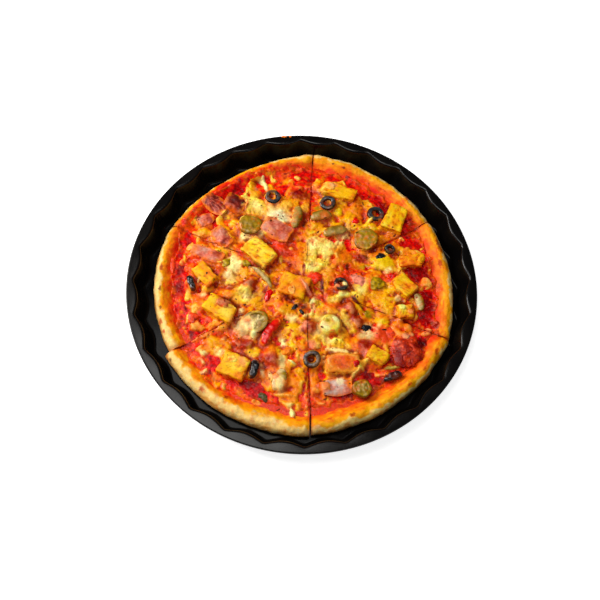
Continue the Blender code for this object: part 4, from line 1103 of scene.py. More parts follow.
@dataclass
class Pan:
    """The pressed black pan: flat floor, fluted wall, flat flange and a lip turned down at its edge."""

    radius: float = 148.0
    height: float = 22.0
    sheet: float = 1.0
    lip_drop: float = 2.5
    lip_sheet: float = 1.2
    flutes: int = 28
    steps: int = 16
    first_corner: float = 4.2857
    ridge_radius: float = 138.3
    depth: float = 4.2
    lip_round: float = 2.3
    inside_height: float = 19.2
    flute_softness: float = 0.012
    foot: tuple = ((1.0, 7.4), (1.02, 6.4), (1.3, 5.5), (1.9, 4.7), (2.8, 4.0), (3.8, 3.55))

    def wall_ring(self, height: float, lean: float) -> np.ndarray:
        """A closed line round the fluted wall.

        Args:
            height: Its height.
            lean: How far it stands inside the wall's upper line.

        Returns:
            Its points, the first one repeated at the end.
        """
        angle = np.linspace(0.0, 2.0 * math.pi, self.flutes * self.steps + 1)
        phase = (angle - math.radians(self.first_corner)) * self.flutes / 2.0
        soft = np.sqrt(np.sin(phase) ** 2 + self.flute_softness)
        reach = self.ridge_radius + self.depth * (1.0 - soft / soft.max()) - lean
        return np.stack([reach * np.cos(angle), reach * np.sin(angle), np.full_like(angle, height)], axis=-1)

    def round_ring(self, height: float, radius: float) -> np.ndarray:
        """A plain circle round the pan with as many points."""
        angle = np.linspace(0.0, 2.0 * math.pi, self.flutes * self.steps + 1)
        return np.stack([radius * np.cos(angle), radius * np.sin(angle), np.full_like(angle, height)], axis=-1)

    def build(self) -> bpy.types.Object:
        """Builds and dresses the pan.

        Returns:
            The pan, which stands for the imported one.
        """
        edge, top = self.radius, self.height
        rings = [self.round_ring(self.sheet, radius) for radius in (4.0, 60.0, 118.0)]
        rings += [self.wall_ring(height, lean) for height, lean in self.foot]
        # The wall leans out as it rises, and then rounds over on to the flange
        for height in (6.5, 10.0, 13.5, 17.0):
            rings.append(self.wall_ring(height, 3.5 * (20.2 - height) / 16.8))
        for turn in np.linspace(0.0, math.pi / 2.0, 7):
            drop = self.lip_round * (1.0 - math.sin(turn))
            rings.append(self.wall_ring(top - drop, -self.lip_round * (1.0 - math.cos(turn))))
        # The flange, and the lip that turns down at its edge
        rings += [self.round_ring(top, edge - 2.4), self.round_ring(top, edge - 1.2)]
        for turn in np.linspace(0.3, math.pi / 2.0, 4):
            inset = 0.9 * (1.0 - math.sin(turn))
            rings.append(self.round_ring(top - 0.9 * (1.0 - math.cos(turn)), edge - inset))
        bottom = top - self.lip_drop
        rings += [self.round_ring(bottom + 0.25, edge), self.round_ring(bottom, edge - 0.3)]
        rings += [self.round_ring(bottom, edge - self.lip_sheet), self.round_ring(top - 1.0, edge - self.lip_sheet)]
        # The wall's outer side, a sheet's thickness away, and the underside
        rings += [self.wall_ring(top - 1.0, -self.lip_round - 0.4), self.wall_ring(top - 2.4, -1.0)]
        rings += [self.wall_ring(12.0, 0.7), self.wall_ring(3.0, 2.7), self.wall_ring(0.9, 4.4)]
        rings += [self.wall_ring(0.0, 6.0), self.round_ring(0.0, 118.0), self.round_ring(0.0, 4.0)]
        pan = add_grid("fluted_pan", np.stack(rings))
        close_shape(pan)
        smooth(pan, 50.0)
        Finish.PAN.dress(pan)
        Finish.PAN_INSIDE.add_to(pan)
        # Faces low down inside the pan take the shaded copy of the enamel
        heights = object_points(pan)[:, 2]
        for face in pan.data.polygons:
            face.material_index = int(heights[list(face.vertices)].mean() < self.inside_height)
        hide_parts("pan")
        return pan


@dataclass
class Wedge:
    """One slice: its bread, its sauce and its cheese, as fans of points between two cuts.

    Attributes:
        index: The slice, counted from 0.
        melt: The melted surface.
        columns: Points across the slice.
        rows: Points from its tip outwards.
        shoulder: How far the melt sinks at an open cut, and over what distance.
        shut_gap: Half the gap of a shut cut.
        shut_away: How far a shut cut counts as away.
        least: The least thickness of the melt.
        sauce_ends: Where the sauce starts, and how far it runs on under the bread's rise.
        cheese_ends: Where the cheese starts, and how far in from the rim's edge its sheet ends.
    """

    index: int
    melt: Melt
    columns: int = 168
    rows: int = 186
    shoulder: tuple = (0.9, 0.9)
    shut_gap: float = 0.02
    shut_away: float = 6.0
    least: float = 0.15
    sauce_ends: tuple = (2.4, 3.2)
    cheese_ends: tuple = (0.35, 13.5)

    @property
    def number(self) -> int:
        """The slice's number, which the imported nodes' names end in."""
        return self.index + 1

    def fan(self, across: np.ndarray, radius: np.ndarray, sealed: float) -> tuple:
        """Places points between the slice's two cuts.

        Args:
            across: From 0 at the first cut to 1 at the second.
            radius: Distances from the point where the cuts meet.
            sealed: How far the layer has closed the cuts: BREAD_SEAL, SAUCE_SEAL or CHEESE_SEAL.

        Returns:
            The points' x and y and the distance from each to the nearer open cut.
        """
        start, end = slice_angles(self.index)
        cuts = (self.index, (self.index + 1) % len(CUTS))
        if sealed == CHEESE_SEAL:
            opens = [cut_opening(cut, radius) for cut in cuts]
        else:
            opens = [1.0 - sealed] * len(cuts)
        halves = [self.shut_gap + (CUTS[cut][1] - self.shut_gap) * opening for cut, opening in zip(cuts, opens)]
        bows = [self.cut_bow(cut, radius) for cut in cuts]
        first = math.radians(start) + np.arcsin(np.clip((halves[0] + bows[0]) / radius, -0.7, 0.7))
        last = math.radians(end) - np.arcsin(np.clip((halves[1] - bows[1]) / radius, -0.7, 0.7))
        angle = first + (last - first) * across
        near_first = (angle - first) * radius + self.shut_away * (1.0 - opens[0])
        near_last = (last - angle) * radius + self.shut_away * (1.0 - opens[1])
        x = CUT_CENTRE[0] + radius * np.cos(angle)
        y = CUT_CENTRE[1] + radius * np.sin(angle)
        return x, y, np.minimum(near_first, near_last)

    @staticmethod
    def cut_bow(cut: int, radius: np.ndarray) -> np.ndarray:
        """How far a hand-made cut strays to the left of its straight line."""
        sway = 0.40 * np.sin(radius / 11.0 + 2.1 * cut) + 0.22 * np.sin(radius / 4.3 + 1.3 * cut)
        return sway * smoothstep(3.0, 14.0, radius)

    def rim(self, across: np.ndarray) -> np.ndarray:
        """The rim's radius across the slice."""
        return rim_between(self.index, across)

    def layer(self, name: str, outer: np.ndarray, inner: float, sealed: float, height: str, bottom: float,
              colour: str) -> bpy.types.Object:
        """Builds one melted layer as a closed body.

        Args:
            name: The piece's name.
            outer: The radius where it ends, for each column.
            inner: The radius where it starts.
            sealed: How far it has closed the cuts.
            height: The field of its upper side.
            bottom: The height of its underside.
            colour: The field of its colour.

        Returns:
            The new piece, painted.
        """
        across = np.linspace(0.0, 1.0, self.columns)[None, :].repeat(self.rows, axis=0)
        share = np.linspace(0.0, 1.0, self.rows)[:, None]
        radius = inner + (outer[None, :] - inner) * share
        x, y, gap = self.fan(across, radius, sealed)
        sheet, fields = self.melt.surface, self.melt.fields
        z = sheet.sample(fields[height], x, y)
        drop, reach = self.shoulder
        z -= drop * np.exp(-((gap / reach) ** 2))
        z = np.maximum(z, bottom + self.least)
        obj = add_grid(name, np.stack([x, y, z], axis=-1))
        extrude_down(obj, bottom)
        points = object_points(obj)
        paint(obj, sheet.sample(fields[colour], points[:, 0], points[:, 1]))
        smooth(obj, 60.0)
        return obj

    def build_sauce(self) -> bpy.types.Object:
        """Builds the slice's sauce, out to where it dips into the bread."""
        across = np.linspace(0.0, 1.0, self.columns)
        rim = self.rim(across)
        x, y, _ = self.fan(across, rim, SAUCE_SEAL)
        edge = np.interp(polar(x, y)[1], *zip(*SAUCE_EDGES))
        inner, lap = self.sauce_ends
        obj = self.layer(f"slice_{self.number}_sauce", rim - edge + lap, inner, SAUCE_SEAL, "sauce", SAUCE_BOTTOM,
                         "sauce_colour")
        Finish.SAUCE.dress(obj)
        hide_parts(f"sauce_{self.number}")
        return obj

    def build_cheese(self) -> bpy.types.Object:
        """Builds the slice's cheese; where there is none its sheet runs below the sauce."""
        inner, inset = self.cheese_ends
        outer = self.rim(np.linspace(0.0, 1.0, self.columns)) - inset
        obj = self.layer(f"slice_{self.number}_cheese", outer, inner, CHEESE_SEAL, "cheese", CHEESE_BOTTOM,
                         "cheese_colour")
        Finish.CHEESE.dress(obj)
        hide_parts(f"cheese_{self.number}")
        return obj

    def build(self) -> list:
        """Builds the slice's three layers."""
        crust = Crust(self).build()
        return [crust, self.build_sauce(), self.build_cheese()]


# How far in the oily glaze begins on the rim, as a share of the way to the sauce, round the pizza
GLAZE_STARTS = (
    (0, 0.30), (30, 0.30), (36, 0.36), (60, 0.32), (85, 0.38), (96, 0.40), (112, 0.28), (150, 0.30), (175, 0.42),
    (200, 0.48), (215, 0.52), (235, 0.58), (258, 0.52), (272, 0.26), (300, 0.22), (335, 0.18), (360, 0.24),
)
# Marks of the oven on the rim: x, y, half length along the rim, half width and tint
RIM_MARKS = (
    (-121.7, 6.0, 3.6, 1.8, Tint.BLISTER), (-120.1, -14.1, 2.2, 1.6, Tint.BROWN), (-117.5, -31.0, 1.6, 1.3, Tint.BROWN),
    (-116.0, -43.0, 2.6, 2.0, Tint.RUST), (117.9, 46.5, 9.0, 2.0, Tint.BLISTER), (118.6, 28.4, 4.2, 2.2, Tint.RUST),
    (114.8, -53.6, 4.0, 1.8, Tint.RUST), (105.0, -69.0, 3.4, 1.8, Tint.RUST), (92.0, -84.0, 2.6, 1.3, Tint.RUST),
    (-74.7, -99.5, 3.0, 2.0, Tint.RUST), (-54.5, -104.3, 2.6, 1.7, Tint.BLISTER), (31.0, 121.0, 1.8, 1.0, Tint.BROWN),
    (21.0, 124.5, 1.4, 1.0, Tint.BROWN), (47.0, -112.0, 3.6, 1.8, Tint.BLISTER), (28.0, -116.5, 2.6, 1.2, Tint.RUST),
    (116.0, -12.0, 9.0, 1.2, Tint.REDORANGE), (-103.0, -76.0, 1.4, 1.2, Tint.BROWN),
    (-60.0, 118.0, 3.0, 1.4, Tint.RUST), (90.0, 92.0, 3.0, 1.6, Tint.RUST), (-112.0, -52.0, 2.2, 1.4, Tint.RUST),
)


@dataclass
class Crust:
    """The bread of a slice: a flat base that rises into a rounded, uneven and browned rim.

    Attributes:
        wedge: The slice.
        sections: Points across the slice.
        base_radii: Radii of the flat base's tip and middle.
        cut_round: How far the rim rounds off at the cuts, and over what distance.
        outer_line: The rim's outer side as distance in from its edge and height.
    """

    wedge: Wedge
    sections: int = 200
    base_radii: tuple = (2.6, 60.0)
    cut_round: tuple = (1.6, 2.2)
    outer_line: tuple = ((0.0, 5.9), (-0.02, 4.6), (0.35, 3.2), (1.1, 2.1), (2.2, 1.5), (4.0, 1.3))

    def profile(self) -> np.ndarray:
        """The closed section as distance in from the rim's edge and height, from the tip outwards over the top."""
        upper = np.array(BREAD_LINE)
        steps = np.linspace(0.0, 1.0, len(upper))
        fine = np.linspace(0.0, 1.0, 64)
        top = np.stack([np.interp(fine, steps, upper[:, 0]), np.interp(fine, steps, upper[:, 1])], axis=-1)
        for _ in range(3):
            top[1:-1] = (top[:-2] + 2.0 * top[1:-1] + top[2:]) / 4.0
        lower = np.array(self.outer_line)
        return np.concatenate([top[::-1], lower[1:]])

    def build(self) -> bpy.types.Object:
        """Builds and dresses the slice's bread."""
        wedge = self.wedge
        across = np.linspace(0.0, 1.0, self.sections)
        rim = wedge.rim(across)
        drop, reach = self.cut_round
        rows = []
        for distance, height in self.profile():
            x, y, gap = wedge.fan(across, rim - distance, BREAD_SEAL)
            round_off = drop * np.exp(-((gap / reach) ** 2)) * smoothstep(17.0, 6.0, np.array(distance))
            rows.append(np.stack([x, y, np.maximum(height - round_off * (height > 5.0), BREAD_BOTTOM)], axis=-1))
        tip, middle = self.base_radii
        for radius, height in ((middle, BREAD_TOP), (tip, BREAD_TOP), (tip, BREAD_BOTTOM), (middle, BREAD_BOTTOM)):
            x, y, _ = wedge.fan(across, np.full_like(across, radius), BREAD_SEAL)
            ring = np.stack([x, y, np.full_like(x, height)], axis=-1)
            if height == BREAD_TOP:
                rows.insert(0, ring)
            else:
                rows.append(ring)
        rows.append(rows[0])
        crust = add_grid(f"slice_{wedge.number}_crust", np.stack(rows))
        self.roughen(crust)
        close_shape(crust)
        self.colour(crust)
        smooth(crust, 50.0)
        Finish.BREAD.dress(crust)
        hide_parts(f"crust_{wedge.number}")
        return crust

    def roughen(self, crust: bpy.types.Object) -> None:
        """Makes the rim uneven, with bubbles and small dents where the oven marked it."""
        points = object_points(crust)
        radius, angle = polar(points[:, 0], points[:, 1])
        outwards = (points[:, :2] - np.array(CUT_CENTRE)) / np.maximum(radius, 1.0)[:, None]
        inwards = rim_radius(angle) - radius
        on_rim = smoothstep(21.0, 15.0, inwards) * (points[:, 2] > BREAD_BOTTOM + 0.4)
        swell = solid_noise(points, 17.0, 1.0) * 0.75 + solid_noise(points, 6.5, 2.0) * 0.42
        swell += solid_noise(points, 2.6, 3.0) * 0.18
        for x, y, length, width, _ in RIM_MARKS:
            away = np.hypot(points[:, 0] - x, points[:, 1] - y) / (0.5 * (length + width) + 1.4)
            swell += 0.8 * np.exp(-((away / 0.9) ** 2)) - 0.5 * np.exp(-((away / 0.35) ** 2))
        lean = np.clip((5.0 - inwards) / 5.0, 0.0, 1.0)
        points[:, :2] += outwards * (swell * lean * on_rim * 0.5)[:, None]
        points[:, 2] += swell * (1.0 - 0.6 * lean) * on_rim
        points[:, 2] = np.clip(points[:, 2], BREAD_BOTTOM, None)
        place_points(crust, points)

    def colour(self, crust: bpy.types.Object) -> None:
        """Cream outside, with painted shade on the outer side and low down it, golden on the crest, glazed orange
        inside and red at the foot where sauce has run.
        """
        points = object_points(crust)
        radius, angle = polar(points[:, 0], points[:, 1])
        inwards = rim_radius(angle) - radius
        edge = np.interp(angle, *zip(*SAUCE_EDGES))
        wander = solid_noise(points, 9.0, 5.0) * 1.8 + solid_noise(points, 3.5, 6.0) * 1.0
        share = (inwards + wander) / edge
        start = np.interp(angle, *zip(*GLAZE_STARTS))
        value = 0.5 * share / start
        value = np.where(share > start, 0.5 + 0.5 * (share - start) / (1.0 - start), value)
        colour = ramp(value, (
            (0.0, Tint.CRUST_SHADE), (0.14, Tint.CRUST), (0.38, Tint.CRUST), (0.52, Tint.GOLD), (0.64, Tint.GLAZE),
            (0.82, Tint.ORANGE), (0.94, Tint.AMBER), (1.04, Tint.REDORANGE), (1.25, Tint.RED),
        ))
        # Painted light on the rim's lower right, which the lamps leave in shade
        colour *= np.interp(angle, *zip(*RIM_BAKE))[:, None]
        # Painted shade low on the rim's outer side, next to the pan
        low = smoothstep(7.5, 3.0, points[:, 2]) * (inwards < 6.0)
        along = np.stack([np.radians(angle) * 128.0 / 3.2, inwards, points[:, 2]], axis=-1)
        spots = smoothstep(0.45, 1.0, solid_noise(points, 2.2, 8.0))
        oil = smoothstep(0.1, 0.8, solid_noise(along, 2.4, 9.0))
        shine = smoothstep(0.2, 0.9, solid_noise(along, 3.4, 14.0))
        stain = smoothstep(0.35, 0.95, solid_noise(along, 2.0, 10.0) + 0.35 * solid_noise(points, 12.0, 11.0))
        toast = smoothstep(0.5, 1.1, solid_noise(points, 4.0, 13.0))
        colour = glaze(
            colour, (Tint.CRUST_SHADE, 0.5 * low), (Tint.FLOUR, 0.4 * spots * (value < 0.5)),
            (Tint.AMBER, 0.5 * oil * smoothstep(0.42, 0.7, value)),
            (Tint.YELLOW, 0.6 * shine * smoothstep(0.3, 0.5, value) * (value < 0.85)),
            (Tint.REDORANGE, 0.5 * stain * smoothstep(0.48, 0.75, value)), (Tint.AMBER, 0.35 * toast),
            (Tint.RUST, 0.65 * cut_shade(points[:, 0], points[:, 1])),
        )
        ragged = 0.25 * solid_noise(points, 1.6, 12.0)
        for x, y, length, width, tint in RIM_MARKS:
            round_rim = math.atan2(y - CUT_CENTRE[1], x - CUT_CENTRE[0]) + math.pi / 2.0
            u, v = turned(points[:, 0] - x, points[:, 1] - y, round_rim)
            mark = 1.0 - smoothstep(0.5, 1.2, np.hypot(u / length, v / width) + ragged)
            colour = glaze(colour, (tint, 0.8 * mark))
        paint(crust, colour)


@dataclass(frozen=True)
class Lying:
    """A topping's place, its size before it is turned and how it lies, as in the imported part."""

    x: float
    y: float
    length: float
    width: float
    height: float
    turn: float = 0.0
    tilt: float = 0.0
    lift: float = 0.0
    bend: float = 0.0
    warmth: float = 0.5

    def lay(self, points: np.ndarray, seat: float = TOPPING_SEAT) -> np.ndarray:
        """Tilts and turns points and sets the lowest of them on the seat."""
        tilt = np.array(Matrix.Rotation(math.radians(self.tilt), 3, "Y"))
        turn = np.array(Matrix.Rotation(math.radians(self.turn), 3, "Z"))
        turned = points @ (turn @ tilt).T
        return turned + np.array([self.x, self.y, seat + self.lift - turned[:, 2].min()])


PANEER = (
    Lying(78.6, 69.8, 26.0, 18.0, 7.6, turn=72.0, tilt=2.0, warmth=0.12),
    Lying(-38.8, 26.4, 28.0, 18.5, 7.4, turn=-39.0, tilt=-2.0, warmth=-0.42),
    Lying(-84.0, 2.0, 21.0, 14.0, 7.2, turn=-43.0, tilt=3.0, warmth=0.3),
    Lying(-67.8, -28.5, 27.0, 15.5, 7.6, turn=-28.0, warmth=-0.12),
    Lying(-7.0, -3.0, 24.0, 21.0, 7.0, turn=-15.0, tilt=2.0, warmth=0.45),
    Lying(-51.0, -78.5, 23.0, 20.0, 8.0, turn=-20.0, tilt=-1.0, warmth=0.1),
    Lying(87.5, 4.0, 19.0, 14.5, 7.8, turn=-45.0, tilt=-2.0, warmth=0.25),
    Lying(65.5, -61.5, 17.0, 12.5, 7.0, turn=-30.0, tilt=4.0, warmth=0.1),
    Lying(28.0, 94.0, 30.0, 12.5, 6.8, turn=-14.0, warmth=0.35),
    Lying(37.5, -70.0, 28.0, 15.0, 5.6, turn=3.0, tilt=2.0, warmth=0.95),
    Lying(89.0, -19.5, 14.0, 12.0, 6.6, turn=10.0, tilt=3.0, warmth=0.25),
    Lying(92.0, 29.0, 19.0, 11.0, 6.0, turn=8.0, tilt=-3.0, warmth=0.75),
)
JALAPENO_SLICES = (
    Lying(-49.5, 54.0, 21.5, 20.0, 4.4, tilt=8.0, lift=1.0, warmth=0.08),
    Lying(53.0, 47.4, 22.0, 21.5, 4.8, turn=30.0, tilt=-7.0, lift=0.8, warmth=0.0),
    Lying(53.6, -90.0, 16.5, 15.5, 6.4, tilt=4.0, warmth=0.22),
    Lying(-36.8, -38.5, 23.0, 20.5, 4.2, turn=20.0, tilt=-6.0, lift=1.4, warmth=0.9),
    Lying(26.0, -36.0, 16.5, 16.5, 4.0, tilt=5.0, lift=2.2, warmth=0.4),
)
JALAPENO_STRIPS = (
    Lying(-8.3, 65.0, 23.0, 9.0, 6.4, turn=82.0, bend=40.0, lift=0.6, warmth=0.8),
    Lying(12.5, 69.0, 20.0, 9.5, 5.6, turn=14.0, bend=-50.0, lift=0.6, warmth=0.85),
    Lying(25.5, 54.0, 22.0, 9.5, 5.4, turn=16.0, bend=-30.0, lift=1.2, warmth=0.8),
    Lying(-33.6, 5.2, 26.0, 5.2, 5.0, turn=-44.0, bend=-45.0, lift=1.6, warmth=0.55),
    Lying(-13.0, -87.0, 19.0, 11.0, 4.8, turn=74.0, bend=40.0, warmth=0.0),
    Lying(101.0, -9.0, 16.0, 7.5, 5.0, turn=-74.0, bend=-30.0, warmth=0.15),
)
OLIVE_RINGS = (
    Lying(-32.0, 85.0, 14.5, 14.0, 4.4, tilt=7.0),
    Lying(18.0, 82.0, 15.0, 14.5, 4.4, tilt=-8.0, lift=0.6),
    Lying(61.5, 74.0, 15.5, 14.5, 4.6, turn=20.0, tilt=8.0),
    Lying(74.5, 39.0, 9.5, 8.5, 4.4, tilt=10.0, lift=1.4),
    Lying(12.0, -68.0, 15.5, 14.5, 4.8, turn=70.0, tilt=-5.0, lift=1.6),
    Lying(33.0, 2.0, 13.0, 11.0, 4.2, turn=-20.0, tilt=9.0, lift=1.4),
)
OLIVE_STRIPS = (
    Lying(-34.3, -79.5, 17.0, 7.0, 6.4, turn=80.0, bend=35.0, lift=0.4),
    Lying(-95.0, -6.5, 15.0, 6.0, 6.0, turn=-69.0, bend=30.0),
    Lying(78.5, -77.0, 16.0, 6.0, 5.4, turn=25.0, bend=-40.0),
)
ONION_PETALS = (
    Lying(-64.6, 75.5, 19.0, 18.0, 2.4, turn=-24.0, tilt=10.0, bend=38.0, warmth=0.95),
    Lying(-90.0, 57.5, 15.0, 12.0, 2.2, turn=30.0, tilt=6.0, bend=30.0, warmth=0.5),
    Lying(-82.6, 72.6, 23.0, 17.0, 2.6, turn=146.0, tilt=-8.0, bend=36.0, lift=0.8, warmth=0.85),
    Lying(-25.4, 51.6, 27.0, 20.0, 2.4, turn=-25.0, tilt=4.0, bend=40.0, lift=1.0, warmth=0.45),
    Lying(-72.8, 40.0, 20.0, 15.0, 2.2, turn=-48.0, tilt=8.0, bend=45.0, lift=0.4, warmth=0.5),
    Lying(-84.0, 23.0, 29.0, 13.0, 2.4, turn=-15.0, tilt=3.0, bend=35.0, lift=0.2, warmth=0.42),
    Lying(34.0, -89.8, 25.0, 15.0, 2.2, turn=10.0, tilt=7.0, bend=36.0, warmth=0.12),
)
PEPPER_STRIPS = (Lying(-24.6, -45.0, 27.0, 8.4, 4.6, turn=62.0, bend=-40.0, lift=0.8),)
TOMATO_PIECES = (Lying(88.5, -53.0, 27.0, 29.0, 7.4, turn=20.0),)
# The petal that is a root end, and where its fibres meet in its own frame
ROOT_END = ONION_PETALS[2]
ROOT_TIP = (12.0, -1.0)

# Pickled jalapeno in linear light
JALAPENO_SKIN = np.array([0.17, 0.092, 0.002])
JALAPENO_FLESH = np.array([0.34, 0.185, 0.003])
JALAPENO_PALE = np.array([0.52, 0.305, 0.008])
JALAPENO_STRAW = np.array([0.86, 0.68, 0.30])
# Black olive in linear light
OLIVE_SKIN = np.array([0.004, 0.004, 0.005])
OLIVE_FLESH = np.array([0.026, 0.025, 0.028])
# The slate colour below is a painted reflection of the light on the olives' cut faces
OLIVE_BLOOM = np.array([0.105, 0.115, 0.130])
OLIVE_INSIDE = np.array([0.030, 0.011, 0.006])
# Baked red onion, from its pale flesh to its dark skin, in linear light
ONION_SHADES = (
    (0.0, (0.76, 0.54, 0.44)), (0.25, (0.76, 0.28, 0.18)), (0.5, (0.66, 0.12, 0.065)),
    (0.75, (0.35, 0.03, 0.015)), (1.0, (0.12, 0.007, 0.005)),
)


@dataclass
class Topping:
    """A piece on the pizza. Each kind shapes its own mesh and paints its own colours."""

    name: str
    lying: Lying
    seed: float
    finish: Finish
    node: str = ""
    seat: float = TOPPING_SEAT

    def lumps(self, points: np.ndarray, size: float, step: float = 0.0) -> np.ndarray:
        """Smooth noise of the piece's own, with lumps of the given size, and another field for each step."""
        return solid_noise(points, size, self.seed + step)

    def shape(self) -> bpy.types.Object:
        """Makes the piece in its own frame, lying flat at the origin."""
        raise NotImplementedError

    def tint(self, local: np.ndarray, normals: np.ndarray) -> np.ndarray:
        """The piece's colours from the places of its points before it is laid."""
        raise NotImplementedError

    def build(self) -> bpy.types.Object:
        """Shapes, paints and lays the piece.

        Returns:
            The piece, which rides on the part and stands for its node.
        """
        obj = self.shape()
        local = object_points(obj)
        colours = self.tint(local, point_normals(obj))
        place_points(obj, self.lying.lay(local, self.seat))
        paint(obj, colours)
        smooth(obj, 60.0)
        self.finish.dress(obj)
        if self.node:
            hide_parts(self.node)
        return obj


class PaneerBlock(Topping):
    """A cut block of paneer with worn edges, a slightly sunken top and a few pits."""

    EDGE = 1.5
    CUTS = 13

    def shape(self) -> bpy.types.Object:
        """Rounds a subdivided cube to the block's size and roughens it."""
        deselect()
        bpy.ops.mesh.primitive_cube_add(size=2.0)
        obj = named(self.name)
        bpy.ops.object.mode_set(mode="EDIT")
        bpy.ops.mesh.select_all(action="SELECT")
        bpy.ops.mesh.subdivide(number_cuts=self.CUTS)
        bpy.ops.object.mode_set(mode="OBJECT")
        unit = object_points(obj) * MM
        half = np.array([self.lying.length, self.lying.width, self.lying.height]) / 2.0
        points = unit * half
        core = np.clip(points, -(half - self.EDGE), half - self.EDGE)
        away = points - core
        reach = np.linalg.norm(away, axis=1)
        points = core + away / np.maximum(reach, 1e-6)[:, None] * self.EDGE
        points[:, 0] += 0.9 * self.lumps(points, 13.0)
        points[:, 1] += 0.9 * self.lumps(points, 13.0, 2.0)
        place_points(obj, points)
        normals = point_normals(obj)
        rough = 0.30 * self.lumps(points, 4.5, 3.0) + 0.16 * self.lumps(points, 1.8, 4.0)
        pits = smoothstep(0.45, 0.9, self.lumps(points, 2.6, 5.0))
        points += normals * (rough - 0.55 * pits)[:, None]
        place_points(obj, points)
        return obj

    def tint(self, local: np.ndarray, normals: np.ndarray) -> np.ndarray:
        """Yellow to orange, deeper in the pits, with painted shade on the sides."""
        lump = self.lumps(local, 6.0, 6.0)
        fine = self.lumps(local, 2.0, 7.0)
        value = 0.64 - 0.45 * self.lying.warmth + 0.24 * lump + 0.12 * fine
        # Painted shade on the sides, which face away from the light above
        value -= 0.14 * (1.0 - np.clip(normals[:, 2], 0, 1))
        colour = ramp(value, (
            (0.0, Tint.AMBER), (0.22, Tint.ORANGE), (0.44, Tint.GOLD), (0.70, Tint.YELLOW), (1.05, Tint.PALE),
        )) * 1.16
        oil = smoothstep(0.1, 0.8, self.lumps(local, 9.0, 8.0))
        pits = smoothstep(0.45, 0.9, self.lumps(local, 2.6, 5.0))
        specks = smoothstep(0.6, 1.0, self.lumps(local, 1.5, 9.0))
        return glaze(colour, (Tint.ORANGE, 0.55 * oil), (Tint.RUST, 0.75 * pits), (Tint.BLISTER, 0.6 * specks))


class OliveRing(Topping):
    """A ring cut from a pitted black olive."""

    HOLE = 0.46

    def shape(self) -> bpy.types.Object:
        """Squares off a torus into a cut ring."""
        radius, half = self.lying.length / 2.0, self.lying.height / 2.0
        hole = radius * self.HOLE
        deselect()
        bpy.ops.mesh.primitive_torus_add(
            major_radius=1.0, minor_radius=0.25, major_segments=64, minor_segments=24)
        obj = named(self.name)
        unit = object_points(obj) * MM
        around = np.arctan2(unit[:, 1], unit[:, 0])
        across = (np.hypot(unit[:, 0], unit[:, 1]) - 1.0) / 0.25
        up = unit[:, 2] / 0.25
        across = np.sign(across) * np.abs(across) ** 0.6
        up = np.sign(up) * np.abs(up) ** 0.55
        wobble = np.stack([np.cos(around), np.sin(around), np.zeros_like(around)], axis=-1)
        uneven = self.lumps(wobble, 0.8)
        reach = (radius + hole) / 2.0 + across * (radius - hole) / 2.0 * (1.0 + 0.05 * uneven)
        reach *= 1.0 + 0.03 * self.lumps(wobble, 1.3, 1.0)
        height = up * half * (1.0 - 0.10 * np.clip(across, 0.0, 1.0) ** 2)
        height += 0.22 * self.lumps(wobble, 0.6, 2.0)
        stretch = self.lying.width / self.lying.length
        points = np.stack([reach * np.cos(around), reach * np.sin(around) * stretch, height], axis=-1)
        points += 0.07 * self.lumps(points, 1.4, 3.0)[:, None] * np.array([0.3, 0.3, 1.0])
        place_points(obj, points)
        return obj

    def tint(self, local: np.ndarray, normals: np.ndarray) -> np.ndarray:
        """Near black, with a painted slate sheen of reflected light on the upward cut face and a brown hole."""
        reach = np.hypot(local[:, 0], local[:, 1]) / (self.lying.length / 2.0)
        colour = mix(np.tile(OLIVE_SKIN, (len(local), 1)), OLIVE_FLESH, smoothstep(0.95, 0.84, reach))
        bloom = smoothstep(-0.2, 0.9, self.lumps(local, 3.4, 5.0))
        colour = mix(colour, OLIVE_BLOOM, 0.55 * bloom * smoothstep(0.97, 0.85, reach) * (normals[:, 2] > 0.3))
        return mix(colour, OLIVE_INSIDE, smoothstep(0.56, 0.48, reach))


